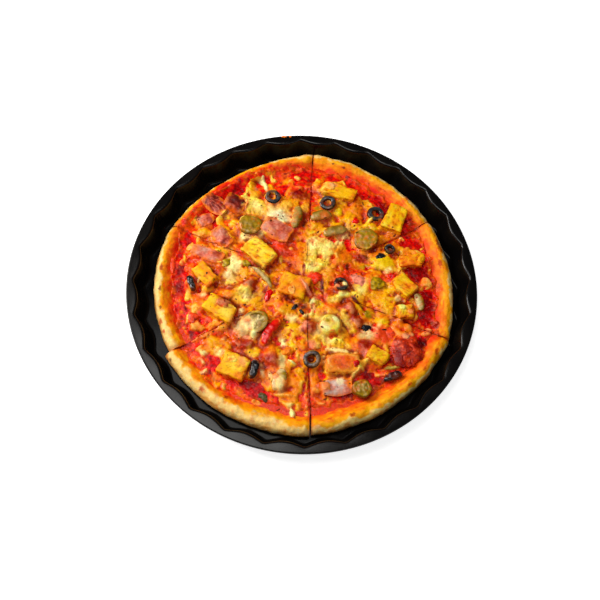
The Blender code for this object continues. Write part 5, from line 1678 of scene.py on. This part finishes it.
class JalapenoSlice(Topping):
    """A cross slice of a pickled jalapeno: a ring of flesh, three webs, seeds and a sunken core."""

    SIDES = 72
    WALL = 0.30

    def lobes(self, around: np.ndarray, share: np.ndarray) -> np.ndarray:
        """How high the core stands between its floor (0) and its webs (1)."""
        web = np.zeros_like(around)
        for step in range(3):
            direction = self.seed * 1.7 + step * 2.094
            off = np.abs((around - direction + math.pi) % (2.0 * math.pi) - math.pi) * share
            web = np.maximum(web, np.exp(-((off / 0.13) ** 2)) * (share < 0.8))
        return np.maximum(web, 1.0 - smoothstep(0.12, 0.3, share))

    def shape(self) -> bpy.types.Object:
        """Turns a section about the axis and carves the core."""
        radius, half = self.lying.length / 2.0, self.lying.height / 2.0
        shares = [*np.linspace(0.0, 0.93, 26), 0.965, 0.99]
        section = [(share, half) for share in shares]
        section += [(1.0, half * 0.6), (1.005, 0.0), (1.0, -half * 0.6), (0.97, -half * 0.95)]
        section += [(share, -half) for share in (0.9, 0.6, 0.3, 0.0)]
        angle = np.linspace(0.0, 2.0 * math.pi, self.SIDES + 1)
        section = np.array(section)
        share = section[:, :1] * np.ones_like(angle)
        height = section[:, 1:] * np.ones_like(angle)
        around = np.ones_like(section[:, :1]) * angle
        upper = height >= half * 0.999
        core = smoothstep(1.0 - self.WALL + 0.05, 1.0 - self.WALL - 0.05, share)
        lobes = self.lobes(around, share)
        webs = self.lying.warmth
        height = np.where(upper, height - (0.2 + 1.1 * webs) * core * (1.0 - 0.75 * lobes), height)
        height = np.where(upper, height + 1.1 * (1.0 - webs) * (1.0 - share ** 2) - 0.5 * (1.0 - webs), height)
        rim_drop = 0.35 * smoothstep(0.9, 1.0, share)
        height = np.where(upper, height - rim_drop, height)
        outline = 1.0 + 0.035 * np.cos(3 * around + self.seed) + 0.02 * np.cos(5 * around + 2.0 * self.seed)
        stretch = self.lying.width / self.lying.length
        x = share * outline * radius * np.cos(around) / 1.05
        y = share * outline * radius * np.sin(around) * stretch / 1.05
        obj = add_grid(self.name, np.stack([x, y, height], axis=-1))
        close_shape(obj)
        points = object_points(obj)
        self.seeds = self.seed_places(radius)
        for seed_x, seed_y in self.seeds:
            away = np.hypot(points[:, 0] - seed_x, points[:, 1] - seed_y)
            points[:, 2] += 1.0 * self.lying.warmth * np.exp(-((away / 0.9) ** 2)) * (points[:, 2] > 0.0)
        points[:, 2] += 0.30 * self.lumps(points, 3.4, 4.0)
        place_points(obj, points)
        return obj

    def seed_places(self, radius: float) -> list:
        """Where the seeds lie in the core."""
        draw = np.random.default_rng(int(self.seed * 10))
        places = []
        for _ in range(7):
            reach, around = radius * draw.uniform(0.3, 0.58), draw.uniform(0.0, 2.0 * math.pi)
            places.append((reach * math.cos(around), reach * math.sin(around)))
        return places

    def tint(self, local: np.ndarray, normals: np.ndarray) -> np.ndarray:
        """Mustard flesh, olive skin, and where the slice is open pale webs and straw-coloured seeds."""
        radius = self.lying.length / 2.0
        webs = self.lying.warmth
        share = np.hypot(local[:, 0], local[:, 1] * self.lying.length / self.lying.width) / radius
        around = np.arctan2(local[:, 1], local[:, 0])
        lump = self.lumps(local, 5.0, 1.0)
        colour = np.tile(JALAPENO_FLESH, (len(local), 1))
        colour = mix(colour, JALAPENO_PALE, 0.55 * smoothstep(-0.1, 0.9, lump))
        colour = mix(colour, JALAPENO_SKIN, smoothstep(0.80, 0.97, share + 0.08 * lump))
        colour = mix(colour, Tint.AMBER.linear, 0.35 * smoothstep(0.2, 0.9, self.lumps(local, 3.2, 6.0)))
        core = smoothstep(1.0 - self.WALL + 0.06, 1.0 - self.WALL - 0.06, share) * (local[:, 2] > -0.5)
        colour = mix(colour, JALAPENO_SKIN, 0.7 * core * webs)
        lobes = self.lobes(around, share)
        colour = mix(colour, JALAPENO_STRAW, 0.7 * lobes * core * webs)
        for seed_x, seed_y in self.seeds:
            away = np.hypot(local[:, 0] - seed_x, local[:, 1] - seed_y)
            colour = mix(colour, JALAPENO_STRAW, webs * np.exp(-((away / 1.05) ** 4)) * core)
        return colour * (1.0 + 0.16 * self.lumps(local, 1.4, 2.0))[:, None]


class BowedStrip(Topping):
    """A bowed strip that narrows to both ends, a piece of ring seen from above."""

    STEPS = 34
    SIDES = 20
    TAPER = 0.45

    def shape(self) -> bpy.types.Object:
        """Sweeps a rounded section along the bow."""
        lying = self.lying
        bend = math.radians(lying.bend)
        radius = lying.length / bend
        share = np.linspace(0.0, 1.0, self.STEPS + 1)[:, None]
        ends = np.clip(1.0 - (np.abs(2.0 * share - 1.0) ** 7), 0.02, 1.0)
        girth = (1.0 - self.TAPER * np.abs(2.0 * share - 1.0) ** 2) * np.sqrt(ends)
        angle = bend * (share - 0.5)
        around = np.linspace(0.0, 2.0 * math.pi, self.SIDES + 1)[None, :]
        across = np.sign(np.cos(around)) * np.abs(np.cos(around)) ** 0.75
        up = np.sign(np.sin(around)) * np.abs(np.sin(around)) ** 0.75
        wide = lying.width / 2.0 * girth * across
        high = lying.height / 2.0 * girth * up
        x = radius * np.sin(angle) - np.sin(angle) * wide
        y = radius * (1.0 - np.cos(angle)) + np.cos(angle) * wide
        obj = add_grid(self.name, np.stack([x, y, high * np.ones_like(x)], axis=-1))
        close_shape(obj)
        points = object_points(obj)
        rough = 0.35 * self.lumps(points, 4.0) + 0.12 * self.lumps(points, 1.6, 1.0)
        points += point_normals(obj) * rough[:, None]
        place_points(obj, points)
        return obj

    def side(self, local: np.ndarray) -> np.ndarray:
        """From -1 on the bow's inner side to 1 on its outer side."""
        bend = math.radians(self.lying.bend)
        radius = self.lying.length / bend
        reach = np.hypot(local[:, 0], local[:, 1] - radius) - abs(radius)
        return np.clip(reach / (self.lying.width / 2.0), -1.0, 1.0)


class JalapenoStrip(BowedStrip):
    """A curved piece of pickled jalapeno, skin outside and pale flesh inside."""

    def tint(self, local: np.ndarray, normals: np.ndarray) -> np.ndarray:
        """Olive skin on the outer side, mustard to straw flesh on the inner one."""
        side = self.side(local) + 0.35 * self.lumps(local, 4.0, 3.0)
        pale = 1.0 - self.lying.warmth
        skin = JALAPENO_SKIN + (JALAPENO_PALE - JALAPENO_SKIN) * 0.6 * pale
        flesh = JALAPENO_FLESH + (JALAPENO_STRAW - JALAPENO_FLESH) * 0.8 * pale
        colour = mix(np.tile(flesh, (len(local), 1)), skin, smoothstep(-0.1, 0.6, side))
        colour = mix(colour, Tint.AMBER.linear, 0.4 * smoothstep(0.3, 1.0, self.lumps(local, 3.0, 5.0)))
        return colour * (1.0 + 0.18 * self.lumps(local, 1.5, 4.0))[:, None]


class OliveStrip(BowedStrip):
    """A piece of black olive seen on its side."""

    TAPER = 0.3

    def tint(self, local: np.ndarray, normals: np.ndarray) -> np.ndarray:
        """Black skin with a dark brown cut side and patches of painted slate sheen of reflected light."""
        colour = mix(np.tile(OLIVE_SKIN, (len(local), 1)), OLIVE_INSIDE, 0.7 * smoothstep(0.2, -0.7, self.side(local)))
        bloom = smoothstep(0.1, 0.9, self.lumps(local, 2.5, 3.0))
        return mix(colour, OLIVE_BLOOM, 0.45 * bloom)


class PepperStrip(BowedStrip):
    """A strip of red pepper with a wet skin."""

    def tint(self, local: np.ndarray, normals: np.ndarray) -> np.ndarray:
        """Bright red, darker along its edges."""
        value = 0.66 + 0.25 * self.lumps(local, 3.5, 3.0) - 0.25 * np.abs(self.side(local))
        return ramp(value, ((0.0, Tint.CRIMSON), (0.35, Tint.RED), (0.65, Tint.BRIGHT), (1.0, Tint.REDORANGE)))


class OnionPetal(Topping):
    """A curved leaf of red onion, softened and browned at its edges."""

    def shape(self) -> bpy.types.Object:
        """Bends a grid into a leaf, curls its edges and gives it its thickness."""
        lying = self.lying
        arch = math.radians(lying.bend)
        radius = lying.width / (2.0 * math.sin(arch))
        rows, columns = 28, 44
        along = np.linspace(-0.5, 0.5, columns)[None, :] * np.ones((rows, 1))
        band = np.linspace(-1.0, 1.0, rows)[:, None] * np.ones((1, columns))
        narrow = 1.0 - 0.34 * np.abs(2.0 * along) ** 2.0
        angle = arch * band * narrow
        x = along * lying.length
        y = radius * np.sin(angle)
        z = radius * (np.cos(angle) - 1.0)
        flat = np.stack([x, y, np.zeros_like(x)], axis=-1).reshape(-1, 3)
        ripple = (0.55 * self.lumps(flat, 6.0) + 0.2 * self.lumps(flat, 2.4, 1.0)).reshape(x.shape)
        obj = add_grid(self.name, np.stack([x, y, z + ripple], axis=-1))
        modify(obj, "SOLIDIFY", thickness=(lying.height - 0.5) * MM, offset=-1.0)
        modify(obj, "BEVEL", width=0.6 * MM, segments=3, limit_method="ANGLE", angle_limit=math.radians(60.0))
        close_shape(obj)
        return obj

    def tint(self, local: np.ndarray, normals: np.ndarray) -> np.ndarray:
        """From pale pink to maroon, veined along the leaf, with browned edges."""
        lying = self.lying
        value = lying.warmth + 0.08 * self.veins(local) + 0.30 * local[:, 0] / lying.length
        value += 0.16 * self.lumps(local, 6.0, 3.0) + 0.10 * self.lumps(local, 1.8, 4.0)
        places = [place for place, _ in ONION_SHADES]
        shades = np.array([shade for _, shade in ONION_SHADES])
        colour = np.stack([np.interp(value, places, shades[:, channel]) for channel in range(3)], axis=-1)
        rim = np.maximum(np.abs(local[:, 0]) / (lying.length / 2.0), np.abs(local[:, 1]) / (lying.width / 2.0))
        rim = rim + 0.15 * self.lumps(local, 4.0, 5.0)
        return mix(colour, Tint.ORANGE.linear, 0.75 * smoothstep(0.6, 0.95, rim))

    def veins(self, local: np.ndarray) -> np.ndarray:
        """The veins that run along the leaf, from -1 to 1."""
        return 0.6 * np.cos(local[:, 1] * 3.0 + 2.5 * self.lumps(local, 7.0, 2.0))


class OnionRoot(OnionPetal):
    """The root end of an onion, with dry fibres that spread from its tip."""

    def veins(self, local: np.ndarray) -> np.ndarray:
        """The fibres, as a fan from the tip."""
        away = local[:, :2] - np.array(ROOT_TIP)
        fan = np.arctan2(away[:, 1], -away[:, 0])
        lines = np.cos(fan * 30.0 + 1.5 * self.lumps(local, 5.0, 2.0))
        return -4.5 * smoothstep(0.45, 0.95, lines)


class SoftLump(Topping):
    """A soft baked lump, such as tomato or a scrap of a topping."""

    LEVEL = 5

    def shape(self) -> bpy.types.Object:
        """Swells and creases a ball of the lump's size."""
        deselect()
        bpy.ops.mesh.primitive_ico_sphere_add(subdivisions=self.LEVEL, radius=1.0)
        obj = named(self.name)
        unit = object_points(obj) * MM
        half = np.array([self.lying.length, self.lying.width, self.lying.height]) / 2.0
        size = float(half[:2].min())
        points = unit * half
        swell = 1.0 + 0.16 * self.lumps(points, size * 1.1) + 0.10 * self.lumps(points, size * 0.45, 1.0)
        crease = np.abs(self.lumps(points, size * 0.6, 2.0))
        points = points * (swell - 0.10 * smoothstep(0.25, 0.0, crease))[:, None]
        points[:, 2] = np.maximum(points[:, 2], -half[2] * 0.6)
        place_points(obj, points)
        return obj


class TomatoPiece(SoftLump):
    """A soft baked lump of tomato, wrinkled and browned."""

    LEVEL = 6

    def tint(self, local: np.ndarray, normals: np.ndarray) -> np.ndarray:
        """Brownish red with pinkish wet dots."""
        value = 0.45 + 0.35 * self.lumps(local, 5.0, 3.0) + 0.2 * self.lumps(local, 1.6, 4.0)
        return ramp(value, (
            (0.0, Tint.CRIMSON), (0.3, Tint.BLISTER), (0.55, Tint.RUST), (0.8, Tint.PINKRED), (1.1, Tint.PINK),
        ))


@dataclass
class Scrap(SoftLump):
    """A small scrap of a topping, half sunk in the cheese."""

    LEVEL = 4
    colour: Tint = Tint.RED

    def tint(self, local: np.ndarray, normals: np.ndarray) -> np.ndarray:
        """Its own colour, mottled."""
        base = np.tile(self.colour.linear, (len(local), 1))
        light = 1.0 + 0.4 * self.lumps(local, 2.6, 3.0) + 0.2 * self.lumps(local, 1.2, 4.0)
        return base * np.clip(light, 0.3, 1.8)[:, None]


# Scraps of topping: kind, finish, colour, and where and how large each lies
SCRAPS = (
    ("olive", Finish.OLIVE, Tint.BLACK, Lying(66.9, 32.5, 10.0, 6.5, 4.6, turn=20.0)),
    ("olive", Finish.OLIVE, Tint.BLACK, Lying(56.0, -35.7, 8.5, 6.0, 4.6, turn=10.0)),
    ("olive", Finish.OLIVE, Tint.BLACK, Lying(-5.0, -21.0, 7.0, 4.0, 3.2, turn=35.0)),
    ("olive", Finish.OLIVE, Tint.BLACK, Lying(1.0, -25.0, 6.0, 3.4, 3.0, turn=-50.0)),
    ("olive", Finish.OLIVE, Tint.SLATE, Lying(-25.5, -101.0, 10.5, 5.6, 3.0, turn=-38.0)),
    ("jalapeno", Finish.JALAPENO, Tint.OLIVE, Lying(63.5, 5.6, 14.0, 12.0, 5.0, turn=15.0)),
    ("jalapeno", Finish.JALAPENO, Tint.OLIVE, Lying(-67.4, 15.9, 11.0, 9.0, 5.0, turn=30.0)),
    ("jalapeno", Finish.JALAPENO, Tint.OLIVE, Lying(-50.0, 16.0, 8.0, 6.0, 4.0, turn=-20.0)),
    ("paneer", Finish.PANEER, Tint.ORANGE, Lying(-7.9, -61.4, 11.0, 8.0, 5.0, turn=40.0)),
    ("paneer", Finish.PANEER, Tint.GOLD, Lying(101.6, 31.0, 10.0, 7.0, 4.4, turn=60.0)),
    ("onion", Finish.ONION, Tint.PINK, Lying(48.7, 8.3, 16.0, 11.0, 4.6, turn=-30.0)),
    ("onion", Finish.ONION, Tint.PINKRED, Lying(-89.5, -37.6, 9.0, 12.0, 4.0, turn=10.0)),
    ("tomato", Finish.TOMATO, Tint.PINKRED, Lying(-75.4, -38.0, 12.0, 8.0, 4.2, turn=-15.0)),
    ("tomato", Finish.TOMATO, Tint.PINKRED, Lying(76.5, -39.0, 16.0, 15.0, 5.4, turn=-50.0)),
    ("onion", Finish.ONION, Tint.PINKRED, Lying(-113.5, 11.4, 4.4, 17.0, 3.0, turn=4.0)),
    ("pepper", Finish.TOMATO, Tint.REDORANGE, Lying(9.8, 8.6, 13.0, 12.0, 4.2, turn=25.0)),
    ("pepper", Finish.PEPPER, Tint.BRIGHT, Lying(-28.0, -11.8, 6.0, 14.0, 4.6, turn=-20.0)),
    ("pepper", Finish.PEPPER, Tint.BRIGHT, Lying(43.7, 66.3, 6.0, 5.0, 3.6)),
    ("pepper", Finish.PEPPER, Tint.RED, Lying(48.6, -69.3, 6.0, 4.6, 3.4, turn=50.0)),
    ("pepper", Finish.PEPPER, Tint.RED, Lying(77.3, 13.4, 7.0, 5.0, 3.6, turn=-40.0)),
)
CRUMBS = (Lying(-26.1, 144.4, 5.2, 2.0, 1.0, turn=8.0), Lying(-20.4, 145.0, 2.6, 1.8, 1.0, turn=-8.0))


class Ground:
    """What the scraps and flecks come to lie on: the highest face below each place."""

    def __init__(self, pieces: list) -> None:
        """Sorts every piece's faces for looking down on them."""
        self.trees = [face_tree(obj) for obj in pieces]

    def below(self, x: float, y: float) -> tuple:
        """The height and the direction of the ground at a place.

        Args:
            x: The place from left to right.
            y: The place from front to back.

        Returns:
            The height in millimetres and the face's normal, or None and None beside the pieces.
        """
        found = (None, None)
        for tree in self.trees:
            place, normal = look_down(tree, x, y)
            if place is not None and (found[0] is None or place.z > found[0]):
                found = (place.z, normal)
        return found


def build_scraps(ground: Ground) -> list:
    """Builds the loose scraps of topping and the two crumbs on the flange.

    Args:
        ground: What they lie on.

    Returns:
        The new pieces.
    """
    pieces = []
    for number, (kind, finish, colour, lying) in enumerate(SCRAPS):
        scrap = Scrap(f"{kind}_scrap_{number + 1}", lying, 30.0 + 1.7 * number, finish, colour=colour)
        height = ground.below(lying.x, lying.y)[0]
        scrap.seat = height - SCRAP_SINK * lying.height
        pieces.append(scrap.build())
    for number, lying in enumerate(CRUMBS):
        crumb = Scrap(f"crumb_{number + 1}", lying, 70.0 + number, Finish.BREAD, colour=Tint.ORANGE)
        crumb.seat = PAN_TOP - CRUMB_SINK
        pieces.append(crumb.build())
    return pieces


@dataclass
class Flecks:
    """Dried herbs, pepper and charred specks that lie all over the pizza.

    Attributes:
        count: How many there are.
        reach: How far they lie from the point where the cuts meet.
        sizes: The range of their sizes before the power and the least size.
        power: The power that makes small flecks common and large ones rare.
        least: The size that each has at least, in millimetres.
        upright: How far upwards the ground has to face.
        seed: The seed of their places, sizes and tints.
    """

    count: int = 230
    reach: float = 124.0
    sizes: tuple = (0.2, 0.8)
    power: float = 1.8
    least: float = 0.18
    upright: float = 0.5
    seed: int = 5

    def build(self, ground: Ground) -> bpy.types.Object:
        """Builds the flecks as one piece.

        Args:
            ground: What they lie on.

        Returns:
            The new piece.
        """
        draw = np.random.default_rng(self.seed)
        deselect()
        bpy.ops.mesh.primitive_ico_sphere_add(subdivisions=2, radius=MM)
        obj = named("herb_flecks")
        ball = object_points(obj)
        faces = np.array([list(face.vertices) for face in obj.data.polygons])
        points, shades, corners = [], [], []
        tints = (Tint.SOOT, Tint.BROWN, Tint.BROWN, Tint.HERB, Tint.BLISTER, Tint.RUST)
        while len(points) < self.count:
            reach, around = self.reach * math.sqrt(draw.uniform()), draw.uniform(0.0, 2.0 * math.pi)
            x, y = CUT_CENTRE[0] + reach * math.cos(around), CUT_CENTRE[1] + reach * math.sin(around)
            size = draw.uniform(*self.sizes) ** self.power + self.least
            shape = ball * size * np.array([draw.uniform(0.8, 2.2), draw.uniform(0.6, 1.1), 0.45])
            shape *= 1.0 + 0.4 * draw.uniform(-1.0, 1.0, (len(ball), 1))
            height, normal = ground.below(x, y)
            if height is None or normal.z < self.upright or height < BREAD_TOP:
                continue
            turn = np.array(normal.to_track_quat("Z", "Y").to_matrix() @ Matrix.Rotation(around * 7.0, 3, "Z"))
            corners.append(faces + len(points) * len(ball))
            points.append(shape @ turn.T + np.array([x, y, height]))
            shades.append(np.tile(tints[int(draw.integers(len(tints)))].linear, (len(ball), 1)))
        obj.data.clear_geometry()
        places = (np.concatenate(points) * MM).tolist()
        obj.data.from_pydata(places, [], np.concatenate(corners).tolist())
        paint(obj, np.concatenate(shades))
        smooth(obj, 60.0)
        Finish.HERBS.dress(obj)
        return obj


def build_toppings() -> list:
    """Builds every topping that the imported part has.

    Returns:
        The new pieces.
    """
    groups = (
        ("paneer", PaneerBlock, Finish.PANEER, PANEER), ("jalapeno", JalapenoSlice, Finish.JALAPENO, JALAPENO_SLICES),
        ("jalapeno", JalapenoStrip, Finish.JALAPENO, JALAPENO_STRIPS), ("olive", OliveRing, Finish.OLIVE, OLIVE_RINGS),
        ("olive", OliveStrip, Finish.OLIVE, OLIVE_STRIPS), ("onion", OnionPetal, Finish.ONION, ONION_PETALS),
        ("pepper", PepperStrip, Finish.PEPPER, PEPPER_STRIPS), ("tomato", TomatoPiece, Finish.TOMATO, TOMATO_PIECES),
    )
    pieces, counts = [], {}
    for kind, make, finish, places in groups:
        for lying in places:
            number = counts[kind] = counts.get(kind, 0) + 1
            name = f"{kind}_piece_{number}"
            # Any number will do here, as long as each piece has its own
            seed = sum(map(ord, kind)) * 0.37 + number * 1.9
            shaper = OnionRoot if lying is ROOT_END else make
            pieces.append(shaper(name, lying, seed, finish, f"{kind}_{number}").build())
            LOG.info("built %s with %d points", name, len(pieces[-1].data.vertices))
    return pieces


def tint_with_film(pieces: list, melt: Melt) -> None:
    """Lets the melted surface's film of colour run over the toppings too, where they face up.

    Args:
        pieces: The toppings.
        melt: The melted surface, worked out.
    """
    for obj in pieces:
        points, normals = object_points(obj), point_normals(obj)
        share = melt.surface.sample(melt.fields["film_share"], points[:, 0], points[:, 1])
        film = melt.surface.sample(melt.fields["film"], points[:, 0], points[:, 1])
        film = film / np.maximum(share, 0.05)[:, None]
        strength = FILM_SHARE_OLIVE if "olive" in obj.name else FILM_SHARE
        share = strength * share * smoothstep(0.0, 0.5, normals[:, 2])
        layer = obj.data.attributes["tint"]
        values = np.zeros(len(points) * 4, np.float32)
        layer.data.foreach_get("color", values)
        values = values.reshape(-1, 4)
        values[:, :3] = mix(values[:, :3], film, share)
        layer.data.foreach_set("color", values.ravel())


@dataclass
class Studio:
    """The white table, the soft lights and the camera at the photograph's angle."""

    distance: float = 600.0
    elevation: float = 65.931
    roll: float = 3.903
    focal_pixels: float = 719.581
    frame_pixels: float = 600.0
    target: tuple = (-1.016, -19.791, 22.0)

    def build_camera(self) -> None:
        """Places the camera."""
        rise, roll = math.radians(self.elevation), math.radians(self.roll)
        back = Vector((0.0, -math.cos(rise), math.sin(rise)))
        right = Vector((1.0, 0.0, 0.0))
        up = back.cross(right)
        rolled_right = right * math.cos(roll) + up * math.sin(roll)
        rolled_up = up * math.cos(roll) - right * math.sin(roll)
        data = bpy.data.cameras.new("camera")
        data.lens = self.focal_pixels / self.frame_pixels * data.sensor_width
        data.clip_start = 0.01
        camera = bpy.data.objects.new("camera", data)
        bpy.context.scene.collection.objects.link(camera)
        place = (Vector(self.target) + back * self.distance) * MM
        turn = Matrix((rolled_right, rolled_up, back)).transposed().to_4x4()
        camera.matrix_world = Matrix.Translation(place) @ turn
        bpy.context.scene.camera = camera

    def add_light(self, name: str, place: tuple, size: tuple, power: float, colour: tuple) -> None:
        """Adds a rectangular soft light that aims at the pan.

        Args:
            name: The light's name.
            place: Where it hangs, in metres.
            size: Its width and height in metres.
            power: Its power in watts.
            colour: Its colour in linear light.
        """
        data = bpy.data.lights.new(name, "AREA")
        data.shape = "RECTANGLE"
        data.size, data.size_y = size
        data.energy = power
        data.color = colour
        light = bpy.data.objects.new(name, data)
        bpy.context.scene.collection.objects.link(light)
        light.location = place
        light.rotation_euler = Vector(place).to_track_quat("Z", "Y").to_euler()

    def build_lights(self) -> None:
        """Sets a soft light overhead, a stronger one high on the left and a weak, even fill."""
        self.add_light("overhead", (-0.17, 0.03, 0.80), (0.42, 0.36), 2.8, (1.0, 0.99, 0.97))
        self.add_light("window", (-0.78, 0.24, 0.56), (0.45, 0.45), 9.2, (1.0, 0.98, 0.95))
        self.add_light("fill", (0.55, -0.75, 0.75), (0.5, 0.5), 1.2, (0.97, 0.98, 1.0))
        world = bpy.data.worlds.new("studio")
        world.use_nodes = True
        world.node_tree.nodes["Background"].inputs["Color"].default_value = (1.0, 1.0, 1.0, 1.0)
        world.node_tree.nodes["Background"].inputs["Strength"].default_value = 0.06
        bpy.context.scene.world = world
        bpy.context.scene.view_settings.view_transform = "Standard"

    def build_table(self) -> None:
        """Lays the table top under the part."""
        deselect()
        bpy.ops.mesh.primitive_plane_add(size=6.0, location=(0.0, 0.0, -0.0002))
        table = named("table_top")
        bpy.ops.object.transform_apply(location=True, rotation=False, scale=False)
        table.data.materials.append(TableFinish().material())

    def build(self) -> None:
        """Builds the whole studio."""
        self.build_camera()
        self.build_lights()
        self.build_table()


def main() -> None:
    """Builds the studio, the pan, the toppings and the six slices, in that order."""
    logging.basicConfig(level=logging.INFO, format="%(message)s")
    Studio().build()
    LOG.info("built the pan with %d points", len(Pan().build().data.vertices))
    toppings = build_toppings()
    melt = Melt(Surface(), toppings)
    melt.work_out()
    tint_with_film(toppings, melt)
    layers = []
    for index in range(len(CUTS)):
        layers += Wedge(index, melt).build()
        LOG.info("built slice %d", index + 1)
    ground = Ground(toppings + layers)
    scraps = build_scraps(ground)
    LOG.info("built %d scraps and crumbs", len(scraps))
    LOG.info("built herb flecks with %d points", len(Flecks().build(ground).data.vertices))


if __name__ == "__main__":
    main()
